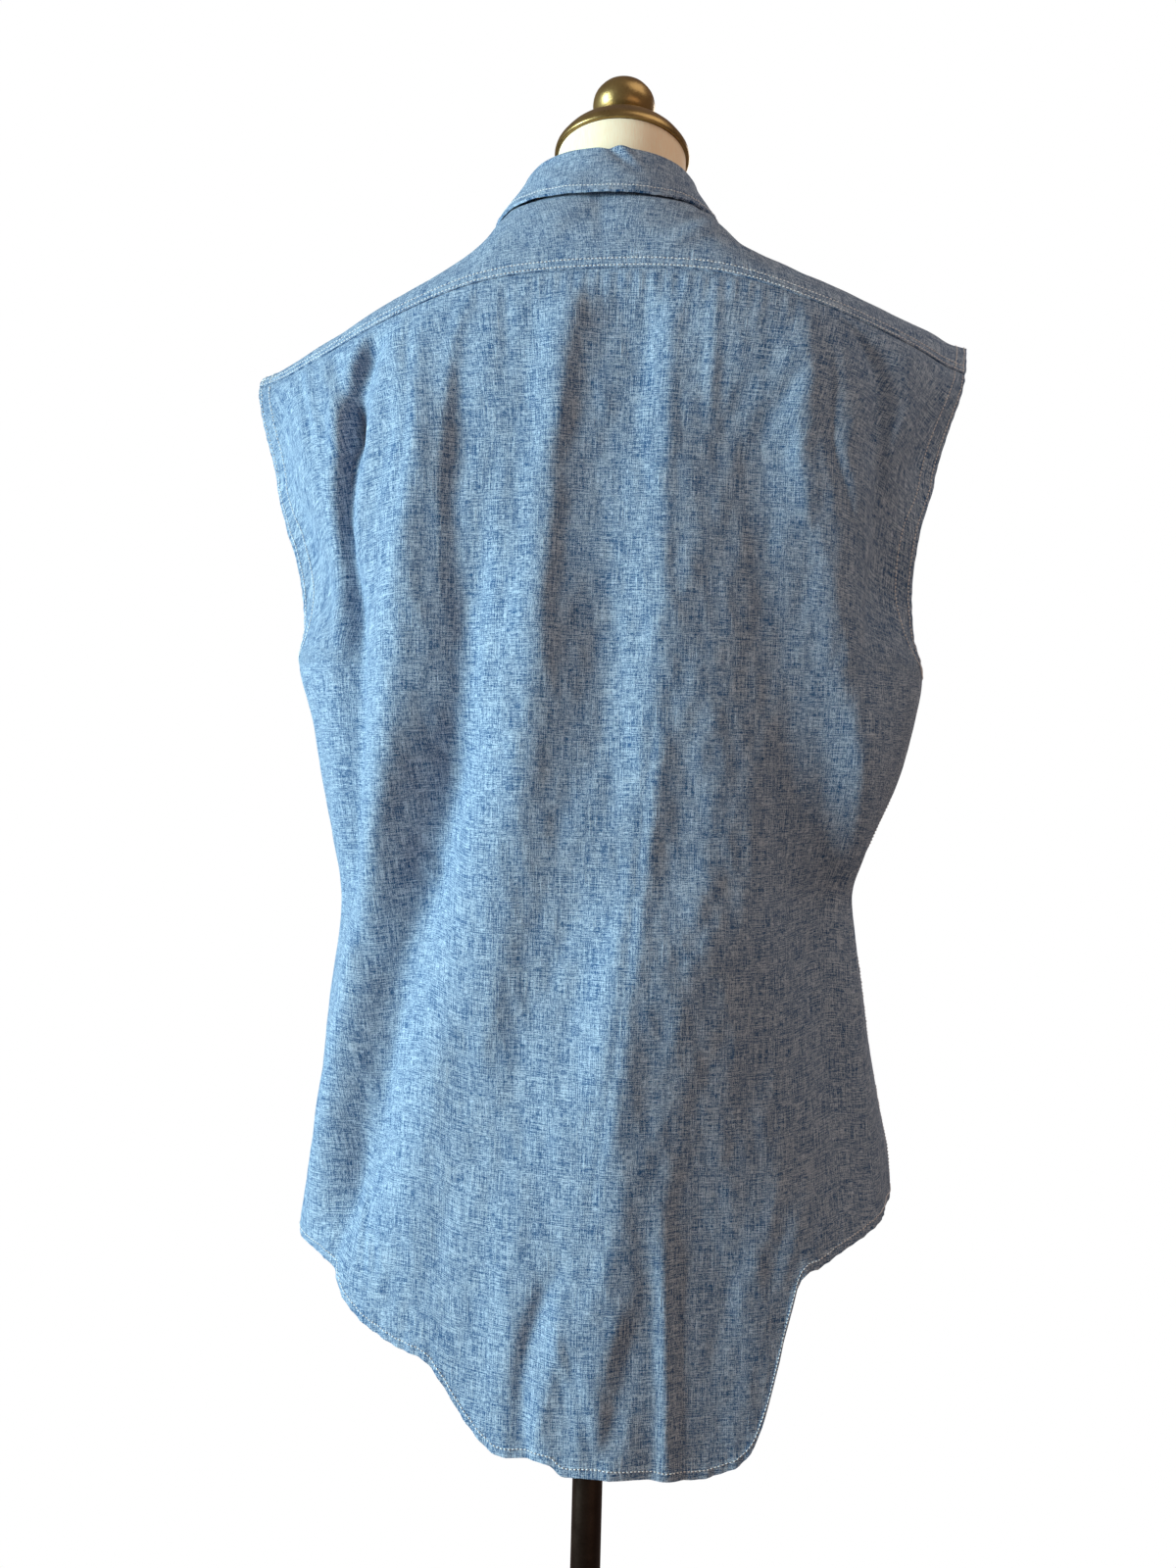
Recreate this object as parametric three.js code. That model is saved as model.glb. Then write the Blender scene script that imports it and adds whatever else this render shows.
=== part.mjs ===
// Sleeveless collared work shirt, hung buttoned on a limbless dress form with a pole and a round foot.
// Millimetres, +Z up, the front faces -Y, the wearer's left is +X.
// The origin is the middle of the foot's underside, on the floor.
import * as THREE from "three";

// ---- Driving sizes ----
const WALL = 1.3; // cloth with its turnings pressed in
const SEAM_GAP = 0.8; // between the edges of two panels at a seam
const LAYER_GAP = 0.5; // between a piece and the piece it lies on
const UNDERARM_Z = 1124;
const CHEST_Z = 1250; // above this the panels run up to their top seams
const QUARTER = Math.PI / 2;
const CORNER_POWER = 0.82; // 1 is an ellipse, less is squarer

const BACK_COLUMNS = 40;
const FRONT_COLUMNS = 16;
const SKIRT_ROWS = 19; // hem to underarm
const CHEST_ROWS = 7; // underarm to CHEST_Z
const TOP_ROWS = 6; // CHEST_Z to the top seam

// Rings of the body: half widths to the side, and the middle of the back and front.
const BODY_ROWS = [
  { z: 600, left: 190, right: 190, sideY: 2, back: 117, front: -120 },
  { z: 690, left: 194, right: 195, sideY: 2, back: 119, front: -126 },
  { z: 780, left: 190, right: 199, sideY: 2, back: 120, front: -131 },
  { z: 810, left: 188, right: 197, sideY: 2, back: 120, front: -133 },
  { z: 840, left: 187, right: 191, sideY: 2, back: 121, front: -134 },
  { z: 880, left: 185, right: 183, sideY: 2, back: 121, front: -136 },
  { z: 925, left: 181, right: 176, sideY: 2, back: 121, front: -138 },
  { z: 960, left: 177, right: 169, sideY: 3, back: 122, front: -139 },
  { z: 985, left: 179, right: 167, sideY: 3, back: 122, front: -140 },
  { z: 1015, left: 185, right: 180, sideY: 4, back: 123, front: -142 },
  { z: 1055, left: 193, right: 196, sideY: 5, back: 124, front: -144 },
  { z: 1090, left: 200, right: 205, sideY: 7, back: 125, front: -145 },
  { z: 1124, left: 210, right: 210, sideY: 8, back: 125, front: -146 },
  { z: 1150, left: 209, right: 208, sideY: 8, back: 125, front: -146 },
  { z: 1180, left: 212, right: 208, sideY: 8, back: 124, front: -145 },
  { z: 1215, left: 220, right: 213, sideY: 8, back: 123, front: -142 },
  { z: 1250, left: 229, right: 218, sideY: 8, back: 122, front: -137 },
];
// Armhole edges above the underarm, as half widths of the back and front panels where they are cut.
const ARMHOLE_ROWS = [
  { z: 1124, backLeft: 210, backRight: 210, frontLeft: 210, frontRight: 210 },
  { z: 1134, backLeft: 202, backRight: 204, frontLeft: 205, frontRight: 203 },
  { z: 1150, backLeft: 196, backRight: 199, frontLeft: 196, frontRight: 195 },
  { z: 1180, backLeft: 200, backRight: 197, frontLeft: 194, frontRight: 190 },
  { z: 1215, backLeft: 212, backRight: 200, frontLeft: 196, frontRight: 190 },
  { z: 1250, backLeft: 225, backRight: 209, frontLeft: 204, frontRight: 198 },
];
const EVEN_HALF = 205; // columns of the grid keep their place up the body, out to about this far

// Heights of the shirt-tail hem, by the length of cloth from the middle of the panel.
const BACK_HEM = [
  { at: -205, z: 780 },
  { at: -184, z: 778 },
  { at: -174, z: 776 },
  { at: -164, z: 771 },
  { at: -153, z: 766 },
  { at: -143, z: 760 },
  { at: -131, z: 753 },
  { at: -124, z: 722 },
  { at: -116, z: 682 },
  { at: -108, z: 656 },
  { at: -99, z: 645 },
  { at: -88, z: 641 },
  { at: -75, z: 639 },
  { at: -37, z: 643 },
  { at: -8, z: 645 },
  { at: 4, z: 645 },
  { at: 12, z: 651 },
  { at: 42, z: 651 },
  { at: 51, z: 655 },
  { at: 66, z: 668 },
  { at: 82, z: 688 },
  { at: 92, z: 697 },
  { at: 109, z: 701 },
  { at: 123, z: 706 },
  { at: 134, z: 711 },
  { at: 146, z: 720 },
  { at: 154, z: 731 },
  { at: 164, z: 738 },
  { at: 184, z: 744 },
  { at: 205, z: 750 },
];
const FRONT_HEM = [
  { at: -205, z: 780 },
  { at: -186, z: 776 },
  { at: -168, z: 764 },
  { at: -130, z: 736 },
  { at: -85, z: 707 },
  { at: -40, z: 694 },
  { at: 0, z: 690 },
  { at: 40, z: 692 },
  { at: 85, z: 703 },
  { at: 130, z: 725 },
  { at: 168, z: 742 },
  { at: 186, z: 748 },
  { at: 205, z: 750 },
];

// Folds. Each runs from top to foot through three places, in millimetres of cloth from the middle of its
// panel (+ is the wearer's left). Depth is outward for a ridge, and inward, below zero, for a trough.
const BACK_FOLDS = [
  { top: 1360, foot: 1190, at: [105, 152, 164], width: 9, depth: -9 },
  { top: 1200, foot: 1010, at: [160, 155, 164], width: 14, depth: -9 },
  { top: 1360, foot: 760, at: [106, 130, 206], width: 19, depth: 9 },
  { top: 1365, foot: 1170, at: [55, 82, 84], width: 8, depth: -3 },
  { top: 1210, foot: 1000, at: [74, 77, 96], width: 16, depth: -7 },
  { top: 1100, foot: 800, at: [84, 119, 151], width: 26, depth: -18 },
  { top: 1375, foot: 1150, at: [8, 28, 33], width: 12, depth: 4.5 },
  { top: 1190, foot: 930, at: [32, 42, 60], width: 24, depth: 7 },
  { top: 1375, foot: 1150, at: [0, 14, 15], width: 8, depth: -2 },
  { top: 1360, foot: 1150, at: [-34, -38, -40], width: 9, depth: 1.3 },
  { top: 1200, foot: 880, at: [-38, -33, -8], width: 16, depth: 3 },
  { top: 1300, foot: 780, at: [-85, -130, -204], width: 24, depth: -9 },
  { top: 1345, foot: 1000, at: [-106, -144, -184], width: 12, depth: 3 },
  { top: 1360, foot: 1160, at: [-115, -180, -190], width: 7, depth: -3 },
  { top: 1020, foot: 520, at: [22, -18, -40], width: 46, depth: 12 },
  { top: 1000, foot: 560, at: [-30, -22, -18], width: 16, depth: 3 },
  { top: 1120, foot: 720, at: [-176, -190, -206], width: 22, depth: 8 },
  { top: 775, foot: 640, at: [2, 27, 22], width: 7, depth: -4 },
  { top: 820, foot: 560, at: [-49, -55, -60], width: 7, depth: 2.5 },
  { top: 870, foot: 745, at: [158, 163, 170], width: 8, depth: -3.5 },
];
const FRONT_FOLDS = [
  { top: 1230, foot: 600, at: [80, 98, 118], width: 26, depth: 9 },
  { top: 1250, foot: 640, at: [124, 144, 164], width: 24, depth: -12 },
  { top: 1240, foot: 700, at: [164, 188, 206], width: 22, depth: 8 },
  { top: 1130, foot: 600, at: [48, 54, 66], width: 22, depth: -7 },
  { top: 1220, foot: 620, at: [-70, -88, -98], width: 28, depth: 8 },
  { top: 1250, foot: 680, at: [-122, -136, -156], width: 26, depth: -11 },
  { top: 1180, foot: 700, at: [-168, -184, -204], width: 22, depth: 7 },
  { top: 1090, foot: 600, at: [-40, -48, -56], width: 20, depth: -6 },
];
const FOLD_FADE = 70;

// Back yoke seam, from one armhole to the other.
const BACK_SEAM = [
  { share: -1, x: -229, y: 40, z: 1320 },
  { share: -0.8, x: -192, y: 68, z: 1328 },
  { share: -0.55, x: -131, y: 96, z: 1344 },
  { share: -0.3, x: -72, y: 110, z: 1357 },
  { share: 0, x: 0, y: 114, z: 1359 },
  { share: 0.3, x: 74, y: 109, z: 1354 },
  { share: 0.55, x: 134, y: 95, z: 1338 },
  { share: 0.8, x: 194, y: 66, z: 1321 },
  { share: 1, x: 239, y: 40, z: 1313 },
];
// Front yoke seam, neck to armhole, and how far it bows forward.
const FRONT_TIP_LEFT = { x: 236, y: -24, z: 1304 };
const FRONT_TIP_RIGHT = { x: -236, y: -24, z: 1319 };
const FRONT_SEAM_BOW = 10;
// Top line of each shoulder: its height at a distance out, and how fast it falls.
const SHOULDER_LEFT = { x: 81, z: 1402, fall: 0.5 };
const SHOULDER_RIGHT = { x: 72, z: 1404, fall: 0.37 };

// Neckline: an oval, high behind and low in front, a little off the middle as the shirt hangs.
const NECK = { x: 7, y: -6, wide: 68, deep: 72, backZ: 1431, drop: 65, dropPower: 2.9 };
const SHOULDER_TURN = THREE.MathUtils.degToRad(122); // where the front yoke seam meets the neckline
const NECK_SHARE_BACK = 0.4; // share of the yoke's half width that ends on the neckline
const NECK_SHARE_FRONT = 0.3;

// ---- Small helpers ----
const vec = (x, y, z) => new THREE.Vector3(x, y, z);
const mix = (a, b, t) => a + (b - a) * t;
const smooth = (t) => {
  const c = Math.min(1, Math.max(0, t));
  return c * c * (3 - 2 * c);
};

// Value of a column of a table at a key, smooth through its rows.
function along(rows, key, column, at) {
  const last = rows.length - 1;
  if (at <= rows[0][key]) return rows[0][column];
  if (at >= rows[last][key]) return rows[last][column];
  let i = 0;
  while (rows[i + 1][key] < at) i += 1;
  const slope = (k) => {
    if (k <= 0 || k >= last) return 0;
    return (rows[k + 1][column] - rows[k - 1][column]) / (rows[k + 1][key] - rows[k - 1][key]);
  };
  const span = rows[i + 1][key] - rows[i][key];
  const t = (at - rows[i][key]) / span;
  const t2 = t * t;
  const t3 = t2 * t;
  return (
    (2 * t3 - 3 * t2 + 1) * rows[i][column] +
    (t3 - 2 * t2 + t) * span * slope(i) +
    (3 * t2 - 2 * t3) * rows[i + 1][column] +
    (t3 - t2) * span * slope(i + 1)
  );
}

// Cubic between two points with a direction and reach at each end.
function bridge(a, aOut, b, bIn, t) {
  const t2 = t * t;
  const t3 = t2 * t;
  return vec(0, 0, 0)
    .addScaledVector(a, 2 * t3 - 3 * t2 + 1)
    .addScaledVector(aOut, t3 - 2 * t2 + t)
    .addScaledVector(b, 3 * t2 - 2 * t3)
    .addScaledVector(bIn, t3 - t2);
}

// A closed wall of cloth round a grid of points on its middle surface.
function clothGeometry(grid, wall = WALL) {
  const rows = grid.length;
  const columns = grid[0].length;
  const positions = [];
  for (const side of [0.5, -0.5]) {
    for (let r = 0; r < rows; r += 1) {
      for (let c = 0; c < columns; c += 1) {
        const along1 = grid[r][Math.min(c + 1, columns - 1)].clone().sub(grid[r][Math.max(c - 1, 0)]);
        const along2 = grid[Math.min(r + 1, rows - 1)][c].clone().sub(grid[Math.max(r - 1, 0)][c]);
        const normal = along1.cross(along2).normalize();
        const point = grid[r][c].clone().addScaledVector(normal, wall * side);
        positions.push(point.x, point.y, point.z);
      }
    }
  }
  const near = (r, c) => r * columns + c;
  const far = (r, c) => rows * columns + r * columns + c;
  const index = [];
  const quad = (a, b, c, d) => index.push(a, b, c, a, c, d);
  for (let r = 0; r < rows - 1; r += 1) {
    for (let c = 0; c < columns - 1; c += 1) {
      quad(near(r, c), near(r, c + 1), near(r + 1, c + 1), near(r + 1, c));
      quad(far(r, c), far(r + 1, c), far(r + 1, c + 1), far(r, c + 1));
    }
    quad(near(r, 0), near(r + 1, 0), far(r + 1, 0), far(r, 0));
    quad(near(r, columns - 1), far(r, columns - 1), far(r + 1, columns - 1), near(r + 1, columns - 1));
  }
  for (let c = 0; c < columns - 1; c += 1) {
    quad(near(0, c), far(0, c), far(0, c + 1), near(0, c + 1));
    quad(near(rows - 1, c), near(rows - 1, c + 1), far(rows - 1, c + 1), far(rows - 1, c));
  }
  const geometry = new THREE.BufferGeometry();
  geometry.setAttribute("position", new THREE.Float32BufferAttribute(positions, 3));
  geometry.setIndex(index);
  return geometry;
}

// ---- Body surface ----
// Quarter of a squared oval from the middle (0, 0) to the side (1, 1), as shares of its reach and depth.
const QUARTER_ARC = Array.from({ length: 61 }, (_, i) => {
  const turn = (QUARTER * i) / 60;
  return [Math.sin(turn) ** CORNER_POWER, 1 - Math.max(Math.cos(turn), 0) ** CORNER_POWER];
});

// The ring at height z: places along one quarter, with the length of cloth from the middle to each.
function quarterRing(facing, side, z) {
  const reach = along(BODY_ROWS, "z", side, z);
  const sideY = along(BODY_ROWS, "z", "sideY", z);
  const middleY = along(BODY_ROWS, "z", facing, z);
  let length = 0;
  let last = null;
  return QUARTER_ARC.map(([across, inward]) => {
    const place = { x: across * reach, y: mix(middleY, sideY, inward), length: 0 };
    if (last) length += Math.hypot(place.x - last.x, place.y - last.y);
    place.length = length;
    last = place;
    return place;
  });
}

// Place on a ring where a column of it passes a target, with the way out of the cloth there.
function ringAt(ring, column, target, facing, side) {
  let i = 1;
  while (i < ring.length - 1 && ring[i][column] < target) i += 1;
  const [a, b] = [ring[i - 1], ring[i]];
  const t = (target - a[column]) / (b[column] - a[column]);
  const size = Math.hypot(b.x - a.x, b.y - a.y);
  const sideSign = side === "left" ? 1 : -1;
  const outSign = facing === "front" ? -1 : 1;
  return {
    x: sideSign * mix(a.x, b.x, t),
    y: mix(a.y, b.y, t),
    length: mix(a.length, b.length, t),
    outX: (sideSign * Math.abs(b.y - a.y)) / size,
    outY: (outSign * (b.x - a.x)) / size,
  };
}

// How far the folds push the cloth out, at a length from the middle, with so much cloth left to the side.
function foldDepth(facing, length, z, toEdge) {
  let sum = 0;
  for (const fold of facing === "front" ? FRONT_FOLDS : BACK_FOLDS) {
    const t = Math.min(1.2, Math.max(-0.2, (fold.top - z) / (fold.top - fold.foot)));
    const [top, middle, foot] = fold.at;
    const centre = top * (1 - t) * (1 - 2 * t) + middle * 4 * t * (1 - t) + foot * t * (2 * t - 1);
    const fade = smooth((fold.top - z) / FOLD_FADE + 0.2) * smooth((z - fold.foot) / FOLD_FADE + 1);
    sum += fold.depth * fade * Math.exp(-(((length - centre) / fold.width) ** 2));
  }
  return sum * smooth(toEdge / 28);
}

// A point of the cloth up to CHEST_Z. share runs from 0 at the middle to +1 or -1 at the panel's edge.
function bodyPoint(facing, share, z) {
  const side = share < 0 ? "right" : "left";
  const ring = quarterRing(facing, side, z);
  const cut = facing + (side === "left" ? "Left" : "Right");
  const whole = ring[ring.length - 1].length;
  const edge = z > UNDERARM_Z
    ? ringAt(ring, "x", along(ARMHOLE_ROWS, "z", cut, z), facing, side).length
    : whole;
  const size = Math.abs(share);
  const length = EVEN_HALF * size + (edge - EVEN_HALF) * size ** 5;
  const place = ringAt(ring, "length", length, facing, side);
  const push = foldDepth(facing, Math.sign(share) * length, z, whole - length);
  return {
    point: vec(place.x + place.outX * push, place.y + place.outY * push, z),
    place,
    push,
    length: Math.sign(share) * length,
    toEdge: whole - length,
  };
}

// ---- Neckline and yoke seams ----
// turn is 0 at the middle back and half a circle at the middle front, + towards the wearer's left.
function neckPoint(turn) {
  const low = ((1 - Math.cos(turn)) / 2) ** NECK.dropPower;
  return vec(
    NECK.x + NECK.wide * Math.sin(turn),
    NECK.y + NECK.deep * Math.cos(turn),
    NECK.backZ - NECK.drop * low,
  );
}

function backSeamPoint(share) {
  const at = (column) => along(BACK_SEAM, "share", column, share);
  return vec(at("x"), at("y"), at("z"));
}
const backSeamDirection = (share) =>
  vec(0.15 * share ** 7, -0.25 - 0.35 * share * share, 0.9).normalize();

function frontSeamPoint(side, t) {
  const tip = side > 0 ? FRONT_TIP_LEFT : FRONT_TIP_RIGHT;
  const point = neckPoint(side * SHOULDER_TURN).lerp(vec(tip.x, tip.y, tip.z), t);
  point.y -= FRONT_SEAM_BOW * 4 * t * (1 - t);
  return point;
}

function frontTopPoint(share) {
  const side = Math.sign(share) || 1;
  const size = Math.abs(share);
  if (size <= NECK_SHARE_FRONT) {
    return neckPoint(mix(side * Math.PI, side * SHOULDER_TURN, size / NECK_SHARE_FRONT));
  }
  return frontSeamPoint(side, (size - NECK_SHARE_FRONT) / (1 - NECK_SHARE_FRONT));
}

function frontTopDirection(share) {
  const side = smooth(Math.abs(share) / NECK_SHARE_FRONT);
  return vec(0, mix(0.3, 0.7, side), mix(0.95, 0.7, side)).normalize();
}

// ---- Panels ----
// A point of a body panel. level runs 0 at the hem, 1 at the underarm, 2 at CHEST_Z and 3 at the top seam.
function panelPoint(facing, share, level) {
  const front = facing === "front";
  if (level <= 1) {
    const hemZ = along(front ? FRONT_HEM : BACK_HEM, "at", "z", EVEN_HALF * share);
    return bodyPoint(facing, share, mix(hemZ, UNDERARM_Z, level)).point;
  }
  if (level <= 2) {
    return bodyPoint(facing, share, mix(UNDERARM_Z, CHEST_Z, (level - 1) ** 1.6)).point;
  }
  const start = bodyPoint(facing, share, CHEST_Z);
  const below = bodyPoint(facing, share, CHEST_Z - 12);
  const end = front ? frontTopPoint(share) : backSeamPoint(share);
  const into = front ? frontTopDirection(share) : backSeamDirection(share);
  const span = start.point.distanceTo(end);
  const up = start.point.clone().sub(below.point).normalize().multiplyScalar(span);
  const t = (level - 2) * (1 - SEAM_GAP / 2 / span);
  const point = bridge(start.point, up, end, into.multiplyScalar(span * 0.85), t);
  const kept = start.push * (1 - t) ** 2 * (1 + 2 * t);
  const push = foldDepth(facing, start.length, point.z, start.toEdge) - kept;
  const settle = smooth((3 - level) * 3.4);
  point.x += start.place.outX * push * settle;
  point.y += start.place.outY * push * settle;
  return point;
}

const spread = (from, to, count) =>
  Array.from({ length: count + 1 }, (_, i) => mix(from, to, i / count));

const LEVELS = [
  ...spread(0, 1, SKIRT_ROWS),
  ...spread(1, 2, CHEST_ROWS).slice(1),
  ...spread(2, 3, TOP_ROWS).slice(1),
];
const panelGrid = (facing, shares) =>
  LEVELS.map((level) => shares.map((share) => panelPoint(facing, share, level)));

// Shares stop half a seam gap short of the side seams.
const edgeShare = 1 - SEAM_GAP / 2 / 240;
const backGrid = panelGrid("back", spread(-edgeShare, edgeShare, BACK_COLUMNS));

// The two fronts end just short of each other under the placket.
const FRONT_EDGE = 9;
function frontShares(side) {
  const inner = (FRONT_EDGE - (side > 0 ? 0 : 0.8)) / EVEN_HALF;
  const corner = NECK_SHARE_FRONT * side;
  const neckCount = 4;
  return [
    ...spread(inner, corner, neckCount),
    ...spread(corner, edgeShare * side, FRONT_COLUMNS - neckCount).slice(1),
  ];
}
const frontLeftGrid = panelGrid("front", frontShares(1));
const frontRightGrid = panelGrid("front", frontShares(-1));

// ---- Yoke: columns from the back seam over the shoulder to the neckline or the front seam ----
const YOKE_ROWS = 6;
function yokeColumn(share) {
  const side = Math.sign(share) || 1;
  const size = Math.abs(share);
  const start = backSeamPoint(share);
  const turned = Math.min(size / NECK_SHARE_BACK, 1);
  const end = size <= NECK_SHARE_BACK
    ? neckPoint(side * turned * SHOULDER_TURN)
    : frontSeamPoint(side, (size - NECK_SHARE_BACK) / (1 - NECK_SHARE_BACK));
  const span = start.distanceTo(end);
  const slope = mix(0.8, -0.72, turned);
  const up = backSeamDirection(share);
  const down = vec(0, -Math.cos(slope), Math.sin(slope));
  // Over the shoulder the reach is what lifts the middle of the column to the shoulder line.
  const line = side > 0 ? SHOULDER_LEFT : SHOULDER_RIGHT;
  const out = Math.max(Math.abs(start.x + end.x) / 2, line.x);
  const lift = line.z - (out - line.x) * line.fall - (start.z + end.z) / 2;
  const arch = Math.max((8 * lift) / (up.z - down.z), span * 0.6);
  const reach = mix(span * 1.05, arch, smooth((size - 0.26) / 0.2));
  return {
    start,
    end,
    up: up.multiplyScalar(reach),
    down: down.multiplyScalar(reach),
    gap: SEAM_GAP / 2 / span,
  };
}
const YOKE_COLUMNS = [
  ...spread(-1, -NECK_SHARE_BACK, 13),
  ...spread(-NECK_SHARE_BACK, NECK_SHARE_BACK, 20).slice(1),
  ...spread(NECK_SHARE_BACK, 1, 13).slice(1),
].map(yokeColumn);
const yokeGrid = spread(0, 1, YOKE_ROWS).map((level) =>
  YOKE_COLUMNS.map(({ start, up, end, down, gap }) =>
    bridge(start, up, end, down, mix(gap, 1 - gap, level)),
  ),
);

// ---- Collar: a stand on the neckline, and a fall turned down over it ----
// Round the collar from the middle back (0 degrees) to each end: height of the stand, how far it leans in,
// and the fall's drop and flare from its ridge to its edge.
const COLLAR_ROWS = [
  { turn: 0, stand: 26, lean: 10, drop: 36, flare: 22 },
  { turn: 50, stand: 27, lean: 10, drop: 33, flare: 22 },
  { turn: 95, stand: 29, lean: 10, drop: 33, flare: 17 },
  { turn: 130, stand: 28, lean: 10, drop: 37, flare: 24 },
  { turn: 155, stand: 26, lean: 10, drop: 60, flare: 36 },
  { turn: 171, stand: 26, lean: 10, drop: 78, flare: 44 },
  { turn: 187, stand: 26, lean: 10, drop: 78, flare: 44 },
];
const COLLAR_STEPS = 36;
const STAND_END = 3.26;
const FALL_END = 2.97;
const collarAt = (turn, column) =>
  along(COLLAR_ROWS, "turn", column, THREE.MathUtils.radToDeg(Math.abs(turn)));

// Middle surface of the stand: level 0 is its foot on the neckline, level 1 its top. Past the middle front
// the wearer's left end lies over the right.
function standPoint(turn, level) {
  const foot = neckPoint(turn);
  const over = smooth((Math.abs(turn) - 2.5) / 0.6) * Math.sign(turn) * (WALL + LAYER_GAP) * 0.55;
  const out = over - 1.2 - collarAt(turn, "lean") * level;
  return vec(
    foot.x + Math.sin(turn) * out,
    foot.y + Math.cos(turn) * out,
    foot.z + 1.4 + collarAt(turn, "stand") * level,
  );
}
const standGrid = [0, 0.5, 1].map((level) =>
  spread(-STAND_END, STAND_END, COLLAR_STEPS).map((turn) => standPoint(turn, level)),
);

// Section of the fall, from inside the stand's top over the ridge and down to its edge. leaf is the share
// of the way down its outer side.
const FALL_SECTION = [
  { out: -2.1, up: -5, leaf: 0 },
  { out: -1.8, up: 1.5, leaf: 0 },
  { out: 1, up: 4, leaf: 0 },
  { out: 3.6, up: 2.5, leaf: 0 },
  { out: 4.4, up: 0, leaf: 0.08 },
  { out: 4.4, up: 0, leaf: 0.38 },
  { out: 4.4, up: 0, leaf: 0.7 },
  { out: 4.4, up: 0, leaf: 1 },
];
function fallPoint(turn, row) {
  const top = standPoint(turn, 1);
  const out = row.out + collarAt(turn, "flare") * row.leaf;
  return vec(
    top.x + Math.sin(turn) * out,
    top.y + Math.cos(turn) * out,
    top.z + row.up - collarAt(turn, "drop") * row.leaf,
  );
}
const fallGrid = FALL_SECTION.map((row) =>
  spread(-FALL_END, FALL_END, COLLAR_STEPS).map((turn) => fallPoint(turn, row)),
);

// ---- Button placket down the wearer's left front, lying on both fronts ----
const PLACKET_WIDTH = 35;
const PLACKET_LIFT = WALL + LAYER_GAP + 0.1;
// A point this far outside a front panel, square to its cloth.
function outsideFront(share, level, lift) {
  const low = Math.max(Math.min(level, 2.96) - 0.02, 0);
  const high = low + 0.04;
  const up = panelPoint("front", share, high).sub(panelPoint("front", share, low));
  const across = panelPoint("front", share + 0.02, level).sub(panelPoint("front", share - 0.02, level));
  const out = across.cross(up).normalize();
  return panelPoint("front", share, level).addScaledVector(out, lift);
}
const placketGrid = LEVELS.map((level) =>
  spread(-PLACKET_WIDTH / 2, PLACKET_WIDTH / 2, 3).map((across) =>
    outsideFront(across / EVEN_HALF, level, PLACKET_LIFT),
  ),
);

// ---- Dress form, neck cap, pole and foot ----
const FORM_ROWS = [
  { z: 770, wide: 150, deep: 92, y: -2 },
  { z: 800, wide: 160, deep: 97, y: -2 },
  { z: 850, wide: 165, deep: 99, y: -2 },
  { z: 920, wide: 152, deep: 88, y: -3 },
  { z: 1000, wide: 126, deep: 76, y: -4 },
  { z: 1060, wide: 134, deep: 84, y: -8 },
  { z: 1130, wide: 152, deep: 98, y: -12 },
  { z: 1200, wide: 160, deep: 104, y: -12 },
  { z: 1260, wide: 168, deep: 96, y: -2 },
  { z: 1305, wide: 170, deep: 82, y: 8 },
  { z: 1333, wide: 162, deep: 71, y: 13 },
  { z: 1357, wide: 137, deep: 63, y: 16 },
  { z: 1379, wide: 102, deep: 57, y: 15 },
  { z: 1398, wide: 69, deep: 51, y: 8 },
  { z: 1420, wide: 49, deep: 47, y: 2 },
  { z: 1446, wide: 45, deep: 45, y: 0 },
  { z: 1483, wide: 45, deep: 45, y: 0 },
];
const CAP_TILT = THREE.MathUtils.degToRad(7);
const NECK_TOP_Z = 1483;
function formGeometry(steps = 28) {
  const positions = [];
  const rings = FORM_ROWS.length;
  for (const row of FORM_ROWS) {
    for (let s = 0; s < steps; s += 1) {
      const turn = (s / steps) * 2 * Math.PI;
      const y = row.y + row.deep * Math.sin(turn);
      const tip = smooth((row.z - 1434) / (NECK_TOP_Z - 1434)) * Math.tan(CAP_TILT) * y;
      positions.push(row.wide * Math.cos(turn), y, row.z + tip);
    }
  }
  const foot = positions.length / 3;
  positions.push(0, FORM_ROWS[0].y, FORM_ROWS[0].z);
  positions.push(0, 0, NECK_TOP_Z);
  const index = [];
  for (let s = 0; s < steps; s += 1) {
    const next = (s + 1) % steps;
    for (let r = 0; r < rings - 1; r += 1) {
      const a = r * steps + s;
      const b = r * steps + next;
      index.push(a, b, b + steps, a, b + steps, a + steps);
    }
    index.push(foot, next, s);
    index.push(foot + 1, (rings - 1) * steps + s, (rings - 1) * steps + next);
  }
  const geometry = new THREE.BufferGeometry();
  geometry.setAttribute("position", new THREE.Float32BufferAttribute(positions, 3));
  geometry.setIndex(index);
  return geometry;
}

// A turned solid about the Z axis from (radius, height) pairs that start and end on the axis.
function turned(profile, steps) {
  const points = profile.map(([radius, height]) => new THREE.Vector2(radius, height));
  return new THREE.LatheGeometry(points, steps).rotateX(QUARTER);
}

const CAP_PROFILE = [[0, 0.5], [46.5, 0.5], [47, 2], [46.5, 5], [41.5, 12], [33.5, 19], [22, 24.5], [14, 27], [0, 27]];
const KNOB_PROFILE = [
  [0, 27.4], [12, 27.4], [13.5, 29], [19.5, 33.5], [22, 40], [21, 47], [16, 53.5], [8, 57], [0, 58],
];
const FOOT_RADIUS = 175;
const FOOT_PROFILE = [
  [0, 0], [FOOT_RADIUS, 0], [FOOT_RADIUS, 8], [FOOT_RADIUS - 4, 11], [110, 17], [60, 24], [34, 32],
  [24, 44], [22, 56], [0, 56],
];
const POLE_RADIUS = 10.5;
const FLANGE_PROFILE = [[0, 752], [16, 752], [18, 756], [58, 760], [62, 762], [62, 769.5], [0, 769.5]];

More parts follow.
